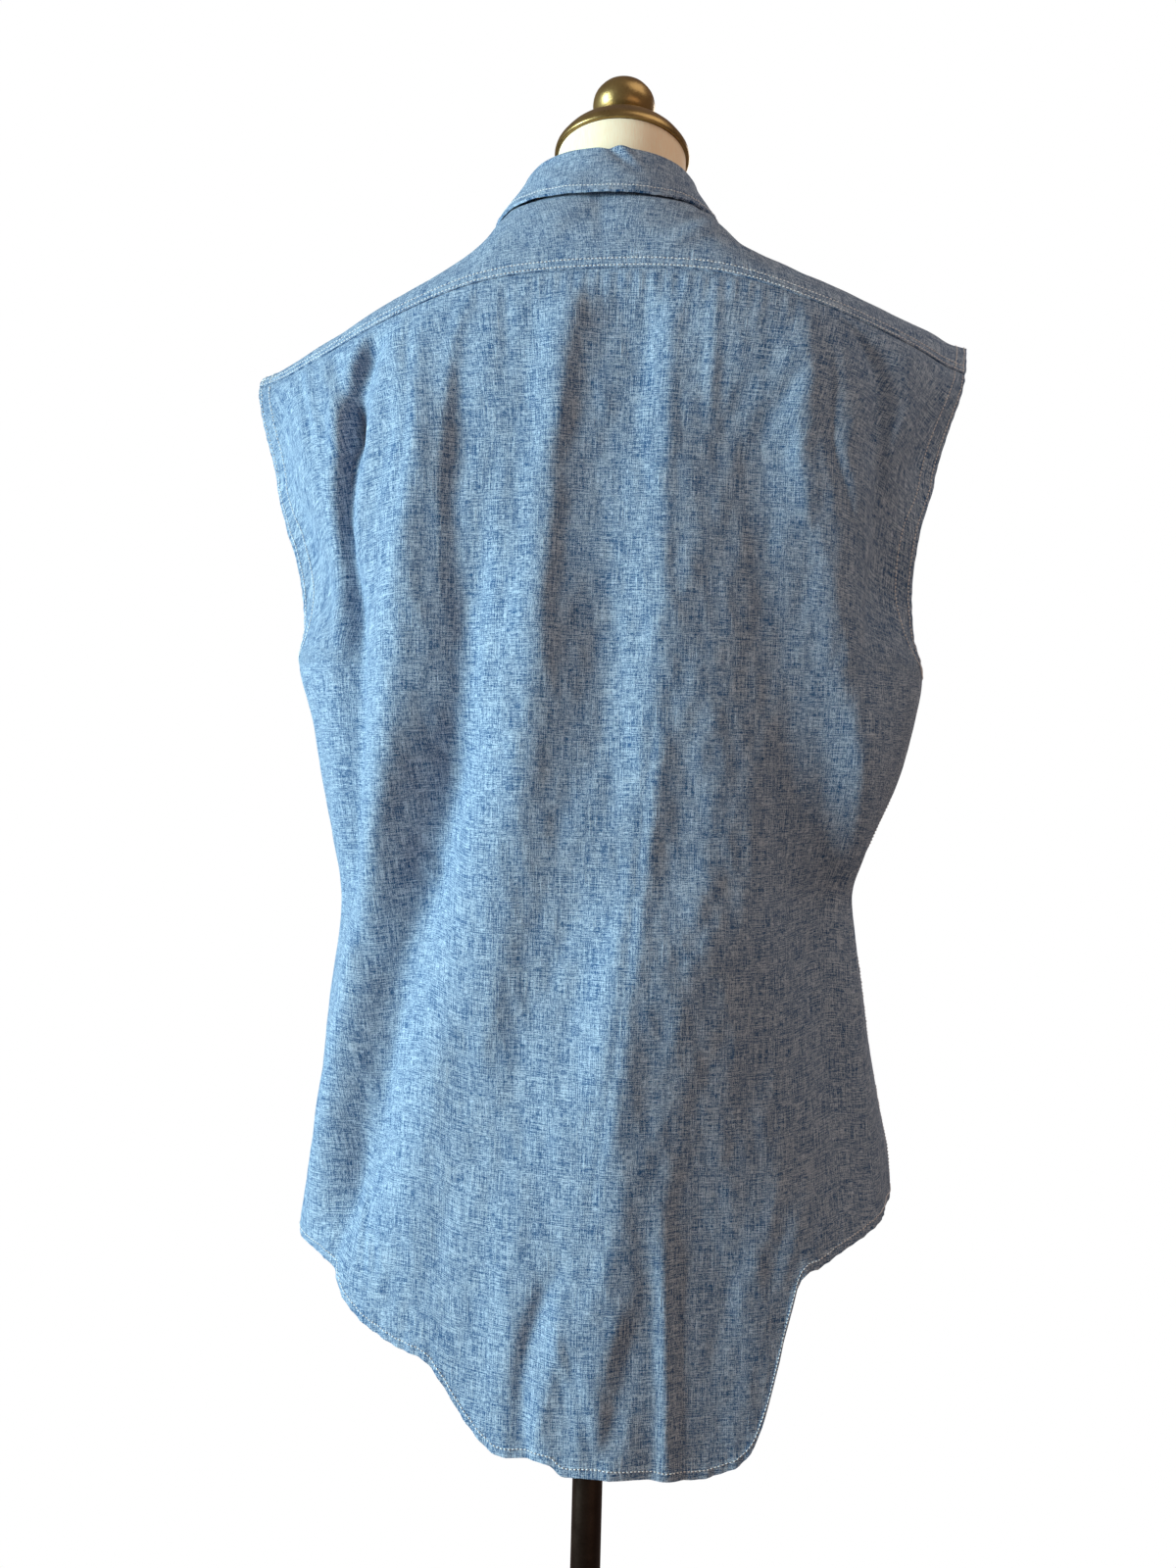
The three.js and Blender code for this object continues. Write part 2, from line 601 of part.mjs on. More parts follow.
// ---- Buttons: one on the stand, the rest down the placket ----
const BUTTON_PROFILE = [[0, 0], [4.9, 0], [5.6, 0.8], [5.6, 1.9], [4.6, 2.5], [3.8, 1.9], [0, 1.9]];
const BUTTON_LEVELS = [2.66, 1.88, 1.4, 0.86, 0.66, 0.46];
const BUTTON_LIFT = WALL / 2 + LAYER_GAP + 0.2;
const BUTTON_PLACES = BUTTON_LEVELS.map((level) => {
  const foot = outsideFront(0, level, PLACKET_LIFT + BUTTON_LIFT);
  const out = outsideFront(0, level, PLACKET_LIFT + BUTTON_LIFT + 1).sub(foot);
  return { foot, out };
});
const standOut = vec(0, -collarAt(Math.PI, "stand"), collarAt(Math.PI, "lean")).normalize();
const standButton = {
  foot: standPoint(Math.PI, 0.5).addScaledVector(standOut, BUTTON_LIFT),
  out: standOut,
};

// ---- Assembly ----
const LOOKS = {
  cloth: { color: 0x5f83ad, roughness: 0.9, metalness: 0 },
  button: { color: 0xe4e2da, roughness: 0.35, metalness: 0 },
  form: { color: 0xe9dccb, roughness: 0.85, metalness: 0 },
  bronze: { color: 0x6d5c38, roughness: 0.35, metalness: 0.8 },
  iron: { color: 0x2b221c, roughness: 0.4, metalness: 0.7 },
};

const shirt = new THREE.Group();
function add(name, geometry, look) {
  const mesh = new THREE.Mesh(geometry, new THREE.MeshStandardMaterial(LOOKS[look]));
  mesh.name = name;
  shirt.add(mesh);
  return mesh;
}

add("foot", turned(FOOT_PROFILE, 40), "iron");
const poleLength = 751.6 - 56.4;
add(
  "pole",
  new THREE.CylinderGeometry(POLE_RADIUS, POLE_RADIUS, poleLength, 24)
    .rotateX(QUARTER)
    .translate(0, 0, 56.4 + poleLength / 2),
  "iron",
);
add("flange", turned(FLANGE_PROFILE, 24), "iron");
add("dress_form", formGeometry(), "form");
const cap = add("neck_cap", turned(CAP_PROFILE, 24), "bronze");
const knob = add("knob", turned(KNOB_PROFILE, 18), "bronze");
for (const mesh of [cap, knob]) {
  mesh.position.set(0, 0, NECK_TOP_Z);
  mesh.rotation.x = CAP_TILT;
}

add("back_panel", clothGeometry(backGrid), "cloth");
add("front_left", clothGeometry(frontLeftGrid), "cloth");
add("front_right", clothGeometry(frontRightGrid), "cloth");
add("yoke", clothGeometry(yokeGrid), "cloth");
add("collar_stand", clothGeometry(standGrid), "cloth");
add("collar_fall", clothGeometry(fallGrid), "cloth");
add("placket", clothGeometry(placketGrid), "cloth");
[standButton, ...BUTTON_PLACES].forEach(({ foot, out }, i) => {
  const button = add(`button_${i + 1}`, turned(BUTTON_PROFILE, 12), "button");
  button.position.copy(foot);
  button.quaternion.setFromUnitVectors(vec(0, 0, 1), out.normalize());
});

export default shirt;
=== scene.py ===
# Sleeveless collared chambray shirt on a limbless dress form: the finished look, built round the packed
# frame. Sizes are millimetres, turned to metres where a mesh is made. Bumps, lights and camera are in
# metres. +Z is up, the front faces -Y and the wearer's left is +X.
import math

import bpy
import numpy as np
from mathutils import Matrix, Vector


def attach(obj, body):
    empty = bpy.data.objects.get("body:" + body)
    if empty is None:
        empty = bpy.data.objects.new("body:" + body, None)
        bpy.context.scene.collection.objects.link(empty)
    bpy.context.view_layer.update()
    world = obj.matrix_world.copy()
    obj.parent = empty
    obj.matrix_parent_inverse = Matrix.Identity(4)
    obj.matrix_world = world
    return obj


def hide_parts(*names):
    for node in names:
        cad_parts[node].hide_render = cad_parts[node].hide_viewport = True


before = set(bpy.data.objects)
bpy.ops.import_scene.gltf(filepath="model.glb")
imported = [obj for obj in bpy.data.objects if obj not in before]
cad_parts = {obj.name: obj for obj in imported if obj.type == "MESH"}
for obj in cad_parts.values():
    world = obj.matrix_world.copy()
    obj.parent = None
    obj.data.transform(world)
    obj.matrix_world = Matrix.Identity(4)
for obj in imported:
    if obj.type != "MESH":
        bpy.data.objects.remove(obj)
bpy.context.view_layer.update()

# ---- foot ----
# Round cast-iron foot, turned with a raised hub that takes the pole. Dark bronzed finish.
# It stands on the floor.


class Field:
    """What comes out of a node, with arithmetic that adds Math nodes."""

    def __init__(self, paint, socket):
        self.paint = paint
        self.socket = socket

    def math(self, operation, a, b, clamp=False):
        return self.paint.node("Math", {"operation": operation, "use_clamp": clamp}, {0: a, 1: b})

    def __add__(self, other):
        return self.math("ADD", self, other)

    __radd__ = __add__

    def __mul__(self, other):
        return self.math("MULTIPLY", self, other)

    __rmul__ = __mul__

    def __sub__(self, other):
        return self.math("SUBTRACT", self, other)

    def __rsub__(self, other):
        return self.math("SUBTRACT", other, self)

    def __pow__(self, other):
        return self.math("POWER", self, other)

    def step(self, low, high):
        """Runs smoothly from 0 at low to 1 at high."""
        sockets = {"Value": self, "From Min": low, "From Max": high}
        return self.paint.node("MapRange", {"interpolation_type": "SMOOTHSTEP"}, sockets)

    def clamped(self):
        return self.math("ADD", self, 0.0, clamp=True)


class Paint:
    """A new material, and the means to wire it."""

    def __init__(self, name):
        self.material = bpy.data.materials.new(name)
        self.material.use_nodes = True
        self.tree = self.material.node_tree
        self.tree.nodes.clear()

    def node(self, kind, settings=None, sockets=None, out=0):
        """Adds a shader node of any kind with its settings and inputs, and gives back one of its outputs."""
        node = self.tree.nodes.new("ShaderNode" + kind)
        for key, value in (settings or {}).items():
            setattr(node, key, value)
        for key, value in (sockets or {}).items():
            if isinstance(value, Field):
                self.tree.links.new(value.socket, node.inputs[key])
            elif value is not None:
                node.inputs[key].default_value = value
        return Field(self, node.outputs[out] if node.outputs else None)

    def place(self):
        """Object coordinates, in metres."""
        return self.node("TexCoord", out=3)

    def scaled(self, vector, x, y, z=1.0):
        return self.node("VectorMath", {"operation": "MULTIPLY"}, {0: vector, 1: (x, y, z)})

    def noise(self, vector, scale=1.0, detail=2.0, rough=0.5):
        sockets = {"Vector": vector, "Scale": scale, "Detail": detail, "Roughness": rough}
        return self.node("TexNoise", {}, sockets)

    def blend(self, factor, a, b):
        """Mixes two colours, given as red, green and blue."""
        settings = {"data_type": "RGBA", "blend_type": "MIX", "clamp_factor": True}
        return self.node("Mix", settings, {0: factor, 6: (*a, 1), 7: (*b, 1)}, out=2)

    def bump(self, height, distance, strength, under=None):
        """A normal from a height of this many metres, laid over another where one is given."""
        sockets = {"Height": height, "Distance": distance, "Strength": strength, "Normal": under}
        return self.node("Bump", {}, sockets)

    def surface(self, shader):
        self.node("OutputMaterial", {}, {"Surface": shader})
        return self.material

    def finish(self, **sockets):
        """Sets the surface. Names are the Principled sockets, with _ for a space."""
        named = {key.replace("_", " "): value for key, value in sockets.items()}
        return self.surface(self.node("BsdfPrincipled", {}, named))


def mesh_piece(name, points, faces, material, uv=None, sharp=50):
    """A smooth-shaded mesh from points in millimetres. uv is one pair for each point."""
    mesh = bpy.data.meshes.new(name)
    mesh.from_pydata((np.asarray(points, float) / 1000).tolist(), [], [list(map(int, f)) for f in faces])
    mesh.validate()
    mesh.update()
    mesh.polygons.foreach_set("use_smooth", np.ones(len(mesh.polygons), bool))
    if sharp:
        mesh.set_sharp_from_angle(angle=math.radians(sharp))
    if uv is not None:
        corner = np.zeros(len(mesh.loops), int)
        mesh.loops.foreach_get("vertex_index", corner)
        layer = mesh.uv_layers.new(name="cloth")
        layer.data.foreach_set("uv", np.asarray(uv, float)[corner].ravel())
    mesh.materials.append(material)
    piece = bpy.data.objects.new(name, mesh)
    bpy.context.scene.collection.objects.link(piece)
    return piece


def closed_rings(low, rings, high):
    """Points and faces of a solid through these rings, closed with fans to a point below and one above."""
    steps = len(rings[0])
    points = np.concatenate([[low], *rings, [high]])
    last = len(points) - 1
    faces = []
    for s in range(steps):
        n = (s + 1) % steps
        faces.append((0, 1 + n, 1 + s))
        for a in range(1, last - steps, steps):
            faces.append((a + s, a + n, a + steps + n, a + steps + s))
        faces.append((last, last - steps + s, last - steps + n))
    return points, faces


def turned(profile, steps):
    """The same of a solid turned about Z. The profile runs from axis to axis as (radius, height)."""
    turn = np.linspace(0, 2 * math.pi, steps, endpoint=False)
    circle = np.stack([np.cos(turn), np.sin(turn), 0 * turn], 1)
    rings = [circle * radius + (0, 0, height) for radius, height in profile[1:-1]]
    return closed_rings((0, 0, profile[0][1]), rings, (0, 0, profile[-1][1]))


def fit(piece, node):
    """Puts a finished piece in a solid's place on the frame."""
    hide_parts(node)
    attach(piece, "root")


def rounded(profile, radius=1.2, steps=3):
    """The profile with each inner corner cut round."""
    profile = [np.array(p, float) for p in profile]
    made = [profile[0]]
    for before, here, after in zip(profile, profile[1:], profile[2:]):
        into, away = before - here, after - here
        cut = min(radius, np.linalg.norm(into) * 0.4, np.linalg.norm(away) * 0.4)
        a = here + into / np.linalg.norm(into) * cut
        b = here + away / np.linalg.norm(away) * cut
        for t in np.linspace(0, 1, steps):
            made.append((1 - t) ** 2 * a + 2 * t * (1 - t) * here + t * t * b)
    made.append(profile[-1])
    return made


def metal(name, dark, light, rough):
    """Bronzed metal: two tones in soft clouds, fine specks, and a roughness that follows them."""
    paint = Paint(name)
    place = paint.place()
    clouds = paint.noise(place, 38.0, 4.0, 0.6)
    specks = paint.noise(place, 900.0, 2.0, 0.6)
    tone = ((clouds - 0.5) * 1.6 + (specks - 0.5) * 0.5 + 0.5).clamped()
    return paint.finish(
        Base_Color=paint.blend(tone, dark, light),
        Metallic=0.85,
        Roughness=((clouds - 0.5) * 0.25 + (specks - 0.5) * 0.12 + rough).clamped(),
        Normal=paint.bump(specks + clouds * 0.4, 0.00012, 0.6),
    )


IRON_DARK = (0.012, 0.007, 0.005)
IRON_LIGHT = (0.05, 0.034, 0.024)
iron = metal("iron", IRON_DARK, IRON_LIGHT, 0.34)
FOOT_PROFILE = [
    (0, 0), (175, 0), (175, 8), (171, 11), (110, 17), (60, 24), (34, 32), (24, 44), (22, 56), (0, 56),
]
foot = mesh_piece("foot_turned", *turned(rounded(FOOT_PROFILE, 2.0), 120), iron, sharp=60)
fit(foot, "foot")

# ---- pole ----
# Straight bronzed steel tube from the foot's hub up into the flange under the form. It is a push fit at both
# ends and has the foot's finish.
POLE_RADIUS = 10.5
POLE_LOW = 56.4
POLE_HIGH = 751.6
pole_profile = [(0, POLE_LOW), (POLE_RADIUS, POLE_LOW), (POLE_RADIUS, POLE_HIGH), (0, POLE_HIGH)]
pole = mesh_piece("pole_tube", *turned(rounded(pole_profile, 0.6), 72), iron, sharp=60)
fit(pole, "pole")

# ---- flange ----
# Turned iron plate with a collar that takes the pole's top. It is screwed up against the form's flat
# underside.
FLANGE_PROFILE = [(0, 752), (16, 752), (18, 756), (58, 760), (62, 762), (62, 769.5), (0, 769.5)]
flange = mesh_piece("flange_turned", *turned(rounded(FLANGE_PROFILE, 0.8), 96), iron, sharp=60)
fit(flange, "flange")

# ---- dress form ----
# Limbless torso of padded papier mache under a tight cover of cream cotton jersey, flat below where the
# flange meets it and cut a little aslant at the neck.


def cubic(a, a_out, b, b_in, t):
    """Curve from a to b, with a direction and reach at each end."""
    return (
        (2 * t**3 - 3 * t**2 + 1) * a
        + (t**3 - 2 * t**2 + t) * a_out
        + (3 * t**2 - 2 * t**3) * b
        + (t**3 - t**2) * b_in
    )


class Table:
    """Rows with named columns. at() reads a column between the rows, smooth through them."""

    def __init__(self, names, rows):
        self.names = names.split()
        self.rows = np.array(rows, float)

    def at(self, column, where):
        key = self.rows[:, 0]
        value = self.rows[:, self.names.index(column)]
        where = np.clip(where, key[0], key[-1])
        i = np.clip(np.searchsorted(key, where, side="right") - 1, 0, len(key) - 2)
        slope = np.zeros(len(key))
        slope[1:-1] = (value[2:] - value[:-2]) / (key[2:] - key[:-2])
        span = key[i + 1] - key[i]
        t = (where - key[i]) / span
        return cubic(value[i], span * slope[i], value[i + 1], span * slope[i + 1], t)


def smooth(t):
    t = np.clip(t, 0, 1)
    return t * t * (3 - 2 * t)


def mix(a, b, t):
    return a + (b - a) * t


FORM = Table(
    "z wide deep y",
    [
        (770, 150, 92, -2), (800, 160, 97, -2), (850, 165, 99, -2), (920, 152, 88, -3), (1000, 126, 76, -4),
        (1060, 134, 84, -8), (1130, 152, 98, -12), (1200, 160, 104, -12), (1260, 168, 96, -2),
        (1305, 170, 82, 8), (1333, 162, 71, 13), (1357, 137, 63, 16), (1379, 102, 57, 15), (1398, 69, 51, 8),
        (1420, 49, 47, 2), (1446, 45, 45, 0), (1483, 45, 45, 0),
    ],
)
FORM_FOOT_Z = 770
SLANT_Z = 1434
NECK_TOP_Z = 1483
CAP_TILT = math.radians(7)
COVER_IN = 0.6
FORM_STEPS = 128
FORM_RINGS = 150


def form_mesh():
    """Oval rings up the torso and neck. The last of them lean into the slant under the cap."""
    turn = np.linspace(0, 2 * math.pi, FORM_STEPS, endpoint=False)
    rings = []
    for z in np.linspace(FORM_FOOT_Z, NECK_TOP_Z, FORM_RINGS):
        wide, deep = (FORM.at(column, z) - COVER_IN for column in ("wide", "deep"))
        across = FORM.at("y", z) + deep * np.sin(turn)
        slant = smooth((z - SLANT_Z) / (NECK_TOP_Z - SLANT_Z)) * math.tan(CAP_TILT)
        rings.append(np.stack([wide * np.cos(turn), across, z + slant * across], 1))
    return closed_rings((0, FORM.at("y", FORM_FOOT_Z), FORM_FOOT_Z), rings, (0, 0, NECK_TOP_Z))


CREAM = (1.0, 0.86, 0.62)
CREAM_SHADE = (0.98, 0.76, 0.5)
cover_paint = Paint("form_cover")
cover_place = cover_paint.place()
wales = cover_paint.noise(cover_paint.scaled(cover_place, 1400, 1400, 180), 1.0, 2.0)
mottle = cover_paint.noise(cover_place, 22.0, 3.0)
cover = cover_paint.finish(
    Base_Color=cover_paint.blend((wales * 0.6 + mottle * 0.4).step(0.3, 0.7), CREAM_SHADE, CREAM),
    Roughness=0.85,
    Sheen_Weight=0.2,
    Sheen_Roughness=0.5,
    Normal=cover_paint.bump(wales, 0.0002, 0.5),
)
dress_form = mesh_piece("dress_form_cover", *form_mesh(), cover, sharp=60)
fit(dress_form, "dress_form")

# ---- neck cap ----
# Spun bronze lid over the neck, low domed, with a small rolled rim. It is screwed down on the form's slanted
# top.
BRONZE_DARK = (0.22, 0.14, 0.05)
BRONZE_LIGHT = (0.5, 0.34, 0.13)
bronze = metal("bronze", BRONZE_DARK, BRONZE_LIGHT, 0.32)
CAP_PROFILE = [
    (0, 0.5), (46.5, 0.5), (47, 2), (46.5, 5), (41.5, 12), (33.5, 19), (22, 24.5), (14, 27), (0, 27),
]
cap_place = Matrix.Translation((0, 0, NECK_TOP_Z / 1000)) @ Matrix.Rotation(CAP_TILT, 4, "X")
neck_cap = mesh_piece("neck_cap_spun", *turned(rounded(CAP_PROFILE, 3.0), 120), bronze, sharp=60)
neck_cap.data.transform(cap_place)
fit(neck_cap, "neck_cap")

# ---- knob ----
# Turned bronze knob, a squat ball on a short waist. It is screwed into the middle of the cap and leans with
# it.
KNOB_PROFILE = [
    (0, 27.4), (12, 27.4), (13.5, 29), (19.5, 33.5), (22, 40), (21, 47), (16, 53.5), (8, 57), (0, 58),
]
knob = mesh_piece("knob_turned", *turned(rounded(KNOB_PROFILE, 3.0, 4), 96), bronze, sharp=60)
knob.data.transform(cap_place)
fit(knob, "knob")

# ---- back panel ----
# One width of slubby blue and white chambray, from the yoke seam to the shirt-tail hem. It hangs in long
# soft folds from the shoulder blades. Hem and armholes are turned twice and stitched in white.
WALL = 1.0
HEM_EXTRA = 0.5
EDGE_WIDTH = 8.5
SEAM_GAP = 0.8
UNDERARM_Z = 1124
CHEST_Z = 1250
EVEN_HALF = 205
CORNER_POWER = 0.82

BODY = Table(
    "z left right sideY back front",
    [
        (600, 190, 190, 2, 117, -120), (690, 194, 195, 2, 119, -126), (780, 190, 199, 2, 120, -131),
        (810, 188, 197, 2, 120, -133), (840, 187, 191, 2, 121, -134), (880, 185, 183, 2, 121, -136),
        (925, 181, 176, 2, 121, -138), (960, 177, 169, 3, 122, -139), (985, 179, 167, 3, 122, -140),
        (1015, 185, 180, 4, 123, -142), (1055, 193, 196, 5, 124, -144), (1090, 200, 205, 7, 125, -145),
        (1124, 210, 210, 8, 125, -146), (1150, 209, 208, 8, 125, -146), (1180, 212, 208, 8, 124, -145),
        (1215, 220, 213, 8, 123, -142), (1250, 229, 218, 8, 122, -137),
    ],
)
ARMHOLE = Table(
    "z backLeft backRight frontLeft frontRight",
    [
        (1124, 210, 210, 210, 210), (1134, 202, 204, 205, 203), (1150, 196, 199, 196, 195),
        (1180, 200, 197, 194, 190), (1215, 212, 200, 196, 190), (1250, 225, 209, 204, 198),
    ],
)
BACK_HEM = Table(
    "at z",
    [
        (-205, 780), (-184, 778), (-174, 776), (-164, 771), (-153, 766), (-143, 760), (-131, 753),
        (-124, 722), (-116, 682), (-108, 656), (-99, 645), (-88, 641), (-75, 639), (-37, 643), (-8, 645),
        (4, 645), (12, 651), (42, 651), (51, 655), (66, 668), (82, 688), (92, 697), (109, 701), (123, 706),
        (134, 711), (146, 720), (154, 731), (164, 738), (184, 744), (205, 750),
    ],
)
# Folds run from top to foot through three places, in millimetres of cloth from the panel's middle, + towards
# the wearer's left. Depth is outward for a ridge, and inward, below zero, for a trough. The columns are
# top, foot, high, middle, low, width, depth.
BACK_FOLDS = [
    (1366, 1170, 94, 153, 165, 8, -10), (1200, 1010, 160, 155, 164, 14, -9),
    (1300, 760, 107, 135, 206, 19, 9), (1360, 1200, 100, 112, 118, 14, 2.5),
    (1365, 1170, 55, 82, 84, 8, -1.8), (1210, 1000, 74, 77, 96, 16, -7), (1100, 800, 84, 119, 151, 26, -18),
    (1375, 1150, 8, 28, 33, 12, 4.4), (1190, 930, 32, 42, 60, 24, 7), (1375, 1080, -18, -13, -9, 22, -4.5),
    (1360, 1150, -34, -38, -40, 9, 1.3), (1200, 880, -38, -33, -8, 16, 3),
    (1300, 780, -85, -130, -204, 30, -6), (1300, 820, -128, -150, -165, 55, -7),
    (1345, 1000, -106, -144, -184, 12, 1.8), (1360, 1160, -115, -178, -190, 13, -6.5),
    (1000, 520, -68, -11, -13, 50, 14), (830, 600, 40, 40, 38, 26, 4), (1000, 560, -30, -22, -18, 16, 3),
    (1120, 720, -176, -190, -206, 22, 8), (775, 640, 2, 27, 22, 7, -4), (820, 560, -49, -55, -60, 7, 2.5),
    (870, 745, 158, 163, 170, 8, -3.5),
]
# Finer creases that the soft folds carry.
BACK_CREASES = [
    (1095, 930, -39, -32, -25, 3.2, -0.8), (1095, 930, -45, -38, -30, 4.2, 0.5),
    (950, 780, -27, -18, -6, 3, -0.7), (735, 655, 13, 0, -8, 4, 2), (720, 645, 6, -3, -14, 6, -2.4),
    (745, 640, -37, -28, -16, 8, -2.8), (800, 640, -51, -54, -56, 4, 1.6), (745, 660, 5, 12, 20, 5, 1.6),
    (785, 735, 152, 145, 138, 3.2, -1.6), (775, 740, 137, 133, 129, 3.2, -1.4),
    (790, 750, 160, 152, 147, 4, 1.2), (1360, 1190, 109, 162, 174, 5, 2),
    (1360, 1190, 104, 155, 167, 4, -1.6), (1350, 1210, 99, 112, 120, 4, -1.4),
    (1365, 1180, 60, 90, 92, 4, 1.2), (1370, 1120, 6, 23, 26, 5, 0.9), (1370, 1120, -3, 16, 18, 6, -0.3),
    (1250, 1090, 54, 60, 66, 6, 1.1), (1340, 1250, 150, 166, 182, 5, -1.4),
    (1335, 1255, 196, 192, 190, 4, -1.6), (1330, 1265, 188, 185, 182, 4, 1.3),
    (1350, 1265, -57, -62, -66, 4, 1.3), (1360, 1160, -38, -42, -43, 4, 0.45),
    (1360, 1160, -43, -48, -49, 6, -0.4), (1350, 1200, -100, -121, -130, 5, 0.7),
    (1350, 1290, -20, -24, -26, 4, -0.9), (1350, 1285, 48, 50, 52, 4, -0.9),
    (1350, 1215, -112, -172, -186, 4, -2.4), (1330, 1200, -118, -142, -168, 4, -2),
    (1335, 1250, -190, -192, -194, 5, -1.5), (1180, 1128, 190, 184, 176, 5, -1.4),
    (1180, 1128, -188, -180, -172, 5, -1.4), (1010, 930, 172, 160, 146, 7, -1.6),
    (1000, 920, -178, -164, -150, 7, -1.6), (1020, 950, 120, 96, 74, 6, -1),
    (1000, 940, -90, -70, -52, 6, -0.9),
]
FOLD_FADE = 70
FOLD_HOLD = 28
CREASE_HOLD = 6

BACK_SEAM = Table(
    "share x y z",
    [
        (-1, -229, 40, 1320), (-0.8, -192, 68, 1328), (-0.55, -131, 96, 1344), (-0.3, -72, 110, 1357),
        (0, 0, 114, 1359), (0.3, 74, 109, 1354), (0.55, 134, 95, 1338), (0.8, 194, 66, 1321),
        (1, 239, 40, 1313),
    ],
)
FRONT_TIPS = {1: (236, -24, 1304), -1: (-236, -24, 1319)}
FRONT_SEAM_BOW = 10
NECK = {"x": 7, "y": -6, "wide": 68, "deep": 72, "backZ": 1431, "drop": 65, "dropPower": 2.9}
SHOULDER_TURN = math.radians(122)
NECK_SHARE_BACK = 0.4
NECK_SHARE_FRONT = 0.3

arc = np.linspace(0, math.pi / 2, 121)
ARC_ACROSS = np.sin(arc) ** CORNER_POWER
ARC_INWARD = 1 - np.maximum(np.cos(arc), 0) ** CORNER_POWER


def columns(*parts):
    """Joins x, y and z into rows of points."""
    return np.stack(np.broadcast_arrays(*parts), -1).astype(float)


def unit(v):
    return v / np.maximum(np.linalg.norm(v, axis=-1, keepdims=True), 1e-9)


def across_fold(fold, t, length):
    """A fold's push at a share t of its way down, on a curve through its three places."""
    high, middle, low, width, depth = fold[2:]
    centre = high * (1 - t) * (1 - 2 * t) + middle * 4 * t * (1 - t) + low * t * (2 * t - 1)
    return depth * np.exp(-(((length - centre) / width) ** 2))


def fold_depth(folds, length, z, to_edge):
    """How far folds push the cloth out, at a length from the middle with so much cloth left to the side."""
    total = np.zeros(np.broadcast(length, z).shape)
    for fold in folds:
        top, foot = fold[:2]
        t = np.clip((top - z) / (top - foot), -0.2, 1.2)
        ends = smooth((top - z) / FOLD_FADE + 0.2) * smooth((z - foot) / FOLD_FADE + 1)
        total += ends * across_fold(fold, t, length)
    return total * smooth(to_edge / FOLD_HOLD)


def crease_depth(creases, length, z, to_edge):
    """Sharper marks, which fade out over a quarter of their own length."""
    total = np.zeros(np.broadcast(length, z).shape)
    for crease in creases:
        top, foot = crease[:2]
        t = (top - z) / (top - foot)
        ends = smooth((t + 0.05) / 0.3) * smooth((1.1 - t) / 0.3)
        total += ends * across_fold(crease, t, length)
    return total * smooth(to_edge / CREASE_HOLD)


def ring_place(facing, share, z, target, by_reach):
    """Place on the body's ring at height z, at a reach or at a length of cloth from the middle."""
    left = share >= 0
    reach = np.where(left, BODY.at("left", z), BODY.at("right", z))[:, None]
    middle = BODY.at(facing, z)[:, None]
    x = ARC_ACROSS * reach
    y = mix(middle, BODY.at("sideY", z)[:, None], ARC_INWARD)
    length = np.zeros(x.shape)
    length[:, 1:] = np.cumsum(np.hypot(np.diff(x), np.diff(y)), axis=1)
    column = x if by_reach else length
    i = np.clip((column < target[:, None]).sum(1), 1, x.shape[1] - 1)
    n = np.arange(len(i))
    t = (target - column[n, i - 1]) / (column[n, i] - column[n, i - 1])
    step_x, step_y = x[n, i] - x[n, i - 1], y[n, i] - y[n, i - 1]
    size = np.hypot(step_x, step_y)
    side = np.where(left, 1, -1)
    out = -1 if facing == "front" else 1
    return {
        "x": side * mix(x[n, i - 1], x[n, i], t),
        "y": mix(y[n, i - 1], y[n, i], t),
        "length": mix(length[n, i - 1], length[n, i], t),
        "whole": length[:, -1],
        "out": columns(side * np.abs(step_y) / size, out * step_x / size, 0 * size),
    }


def body_point(facing, share, z):
    """Cloth up to CHEST_Z. share runs from 0 at the middle to +1 or -1 at the panel's edge. It comes with
    the way out, the folds' push, the length of cloth from the middle and the length left to the side."""
    cut = np.where(share >= 0, ARMHOLE.at(facing + "Left", z), ARMHOLE.at(facing + "Right", z))
    edge = ring_place(facing, share, z, cut, True)
    edge_length = np.where(z > UNDERARM_Z, edge["length"], edge["whole"])
    size = np.abs(share)
    length = EVEN_HALF * size + (edge_length - EVEN_HALF) * size**5
    place = ring_place(facing, share, z, length, False)
    to_edge = edge["whole"] - length
    across = np.sign(share) * length
    push = fold_depth(PANEL_FOLDS[facing], across, z, to_edge)
    point = columns(place["x"], place["y"], z) + place["out"] * push[:, None]
    return point, place["out"], push, across, to_edge


def neck_point(turn):
    """The neckline. turn is 0 at the middle back, + towards the wearer's left."""
    low = ((1 - np.cos(turn)) / 2) ** NECK["dropPower"]
    return columns(
        NECK["x"] + NECK["wide"] * np.sin(turn),
        NECK["y"] + NECK["deep"] * np.cos(turn),
        NECK["backZ"] - NECK["drop"] * low,
    )


def back_seam_point(share):
    return columns(*(BACK_SEAM.at(column, share) for column in "xyz"))


def back_seam_direction(share):
    return unit(columns(0.15 * share**7, -0.25 - 0.35 * share * share, 0.9))


def front_seam_point(share, t):
    side = np.where(share >= 0, 1, -1)
    tip = np.where((side > 0)[..., None], FRONT_TIPS[1], FRONT_TIPS[-1])
    point = mix(neck_point(side * SHOULDER_TURN), tip, t[..., None])
    point[..., 1] -= FRONT_SEAM_BOW * 4 * t * (1 - t)
    return point


def front_top_point(share):
    size = np.abs(share)
    side = np.where(share >= 0, 1, -1)
    on_neck = neck_point(mix(side * math.pi, side * SHOULDER_TURN, np.minimum(size / NECK_SHARE_FRONT, 1)))
    on_seam = front_seam_point(share, np.clip((size - NECK_SHARE_FRONT) / (1 - NECK_SHARE_FRONT), 0, 1))
    return np.where((size <= NECK_SHARE_FRONT)[..., None], on_neck, on_seam)


def front_top_direction(share):
    side = smooth(np.abs(share) / NECK_SHARE_FRONT)
    return unit(columns(0 * side, mix(0.3, 0.7, side), mix(0.95, 0.7, side)))


